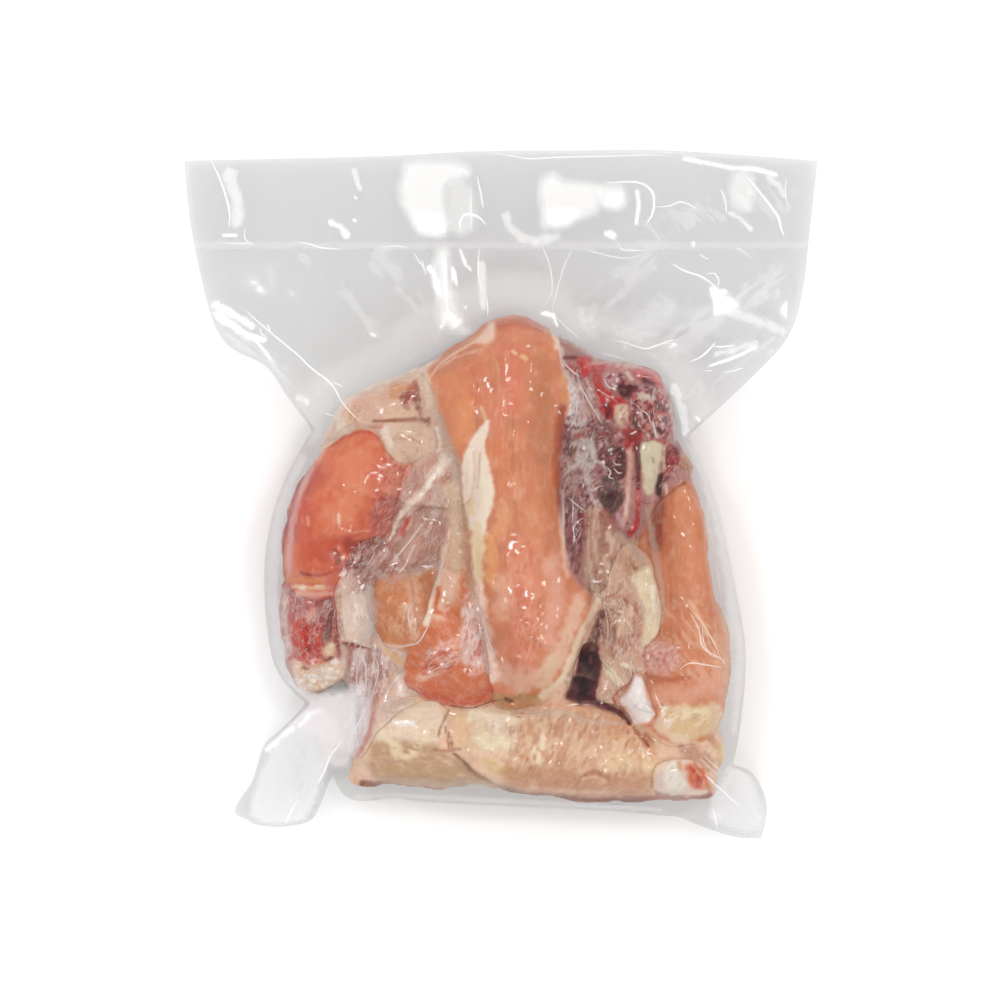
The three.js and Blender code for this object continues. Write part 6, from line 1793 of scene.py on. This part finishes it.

# The creases: sharp folds in the soft film, thin raised strands whose white colour is a painted highlight,
# the light that they catch.
film_creases = [
    (shine, 0.43, 0.72, [(-114, 131.5), (-110.5, 124), (-108, 117), (-106.5, 110), (-107, 104)]),
    (bright, 0.36, 0.59, [(-100.5, 104), (-100.4, 100), (-97, 97.4)]),
    (shine, 0.36, 0.68, [(-80, 99), (-75, 98), (-70, 96.5), (-62, 96)]),
    (bright, 0.36, 0.59, [(-110, 98.6), (-103, 98.2), (-97, 98.5)]),
    (bright, 0.36, 0.59, [(-46, 97), (-41, 97.2), (-36, 96.5)]),
    (bright, 0.36, 0.59, [(-34, 94.5), (-32, 91), (-30, 89)]),
    (bright, 0.36, 0.59, [(-31, 92), (-30.4, 89), (-29.5, 86)]),
    (shine, 0.58, 0.68, [(-16, 103), (-16, 107), (-14, 109.5), (-11, 109.5), (-8, 108), (-6, 105.5)]),
    (bright, 0.43, 0.59, [(-11.7, 120), (-11.9, 112), (-11.6, 104)]),
    (bright, 0.43, 0.59, [(-9.5, 125), (-8, 118), (-7, 112)]),
    (bright, 0.43, 0.59, [(-8.5, 97), (-9, 88), (-8, 82), (-6, 76)]),
    (shine, 0.36, 0.81, [(-100, 72), (-97, 69), (-90, 63), (-80, 54.7), (-75, 49.8), (-70, 46), (-67, 43.5),
                        (-64.5, 40), (-63, 37), (-60, 33), (-55, 28)]),
    (shine, 0.29, 0.68, [(-94.6, 65.4), (-94, 63), (-92, 61.6)]),
    (shine, 0.29, 0.68, [(-91.6, 66.4), (-90.6, 64)]),
    (shine, 0.36, 0.72, [(-66, 43.6), (-64, 43), (-62, 42)]),
    (bright, 0.29, 0.68, [(-69, 31.5), (-67.6, 31.2), (-66, 30.5)]),
    (bright, 0.36, 0.68, [(-5, 134.4), (5, 132.5), (12, 131.5), (20, 132), (40, 132.5), (60, 133), (67,
     132.5)]),
    (shine, 0.58, 0.68, [(42, 122), (50, 122.5), (56, 121.5), (59.5, 118), (60, 113), (59, 109), (57, 106)]),
    (bright, 0.43, 0.64, [(60, 112.5), (66, 113), (70, 114.5), (74, 113.5), (77, 111.5)]),
    (bright, 0.36, 0.59, [(40.5, 103.4), (42.4, 101), (45, 99.5)]),
    (bright, 0.43, 0.64, [(46, 98), (47.5, 96), (51, 95.5), (57, 95.5)]),
    (pale_grey, 0.36, 0.59, [(32, 96), (38, 94.5), (44, 93), (50, 92.5), (56, 94)]),
    (bright, 0.36, 0.59, [(78, 94), (80, 92.6), (81.6, 92)]),
    (shine, 0.50, 0.68, [(67, 90.5), (72, 87.5), (78, 85.5), (82, 83), (84.5, 81)]),
    (bright, 0.36, 0.59, [(80, 86), (83.5, 86.5), (85.4, 84), (85, 81)]),
    (bright, 0.43, 0.59, [(86, 120), (88, 115), (88.5, 110)]),
    (shine, 0.65, 0.68, [(97, 124), (101, 119), (105, 114), (108.5, 109), (110, 104), (111, 101)]),
    (pale_grey, 0.43, 0.59, [(112, 124), (111.5, 118), (113, 112)]),
    (pale_grey, 0.43, 0.59, [(92, 96.5), (95, 95), (98, 92.5)]),
    (bright, 0.36, 0.59, [(22, 69), (27, 64), (31, 61)]),
    (pale_grey, 0.36, 0.51, [(15, 100), (19, 90), (20, 80), (17, 74)]),
    (pale_grey, 0.36, 0.51, [(28, 96), (25, 90), (22, 80), (20, 72)]),
    (bright, 0.36, 0.59, [(-5.4, 77), (-5.2, 70)]),
    (shine, 0.36, 0.77, [(42, 60.4), (48, 59.5), (53, 57.8), (57, 57), (60, 57.8), (66, 60), (70, 60.5)]),
    (pale_grey, 0.36, 0.59, [(40, 55), (44, 54), (48, 53)]),
    (shine, 0.43, 0.72, [(74, 51.7), (78, 53.5), (80, 55), (83, 58), (84, 59.5)]),
    (shine, 0.36, 0.68, [(83, 58), (87, 57.7), (92, 58.5)]),
    (bright, 0.36, 0.64, [(80, 48.3), (83, 48.3)]),
    (bright, 0.36, 0.64, [(86.5, 47.7), (91, 48.2), (95, 49.5)]),
    (shine, 0.43, 0.77, [(-61, -94), (-64, -99), (-67, -103), (-69, -108), (-71, -112), (-72, -114)]),
    (shine, 0.43, 0.77, [(-80, -120), (-82, -124), (-84, -128), (-84.5, -129.5)]),
    (bright, 0.43, 0.68, [(-77.4, -116.6), (-76.8, -117.4)]),
    (bright, 0.36, 0.68, [(-103, -126.5), (-98, -129)]),
    (bright, 0.50, 0.68, [(-93, -99.6), (-91.6, -100.4)]),
    (bright, 0.29, 0.51, [(-53, -84), (-56, -90), (-60, -97)]),
    (bright, 0.29, 0.51, [(-57, -84), (-60, -90), (-64, -96)]),
    (shine, 0.43, 0.72, [(80, -110), (84, -114), (88, -117.5), (91, -120.5), (94, -122.5)]),
    (shine, 0.36, 0.72, [(83, -123.5), (84, -127), (85, -131.5)]),
    (pale_grey, 0.36, 0.59, [(86, -125), (86, -129)]),
    ((226, 205, 195), 0.29, 0.68, [(79, -102), (83, -106), (89, -111)]),
    ((226, 208, 198), 0.29, 0.59, [(78, -103.6), (82, -107.6), (87, -112)]),
    ((240, 226, 218), 0.29, 0.64, [(74.2, -46.7), (77.6, -53.1), (79.4, -60.4), (86.2, -64.7), (87.9,
     -67.7)]),
    ((236, 220, 210), 0.25, 0.59, [(76.4, -46.7), (82.8, -57), (86.6, -65.5)]),
    ((240, 226, 218), 0.29, 0.64, [(70, -69), (74.2, -66.4), (81, -67.2), (87, -68.1)]),
    ((236, 218, 208), 0.25, 0.59, [(79, -50), (79.5, -58), (82, -63), (85, -64.5)]),
    ((234, 214, 204), 0.25, 0.59, [(81.5, -10), (83, -20), (85, -30), (87, -48)]),
]
strands("film_creases", upper_height + 0.16, sheet_x, sheet_y, film_creases, on_film,
        gleam, 0.4, 151)
# It casts no shadow, because shadows through so thin a layer hardly show and take long.
bpy.data.objects["film_creases"].visible_shadow = False
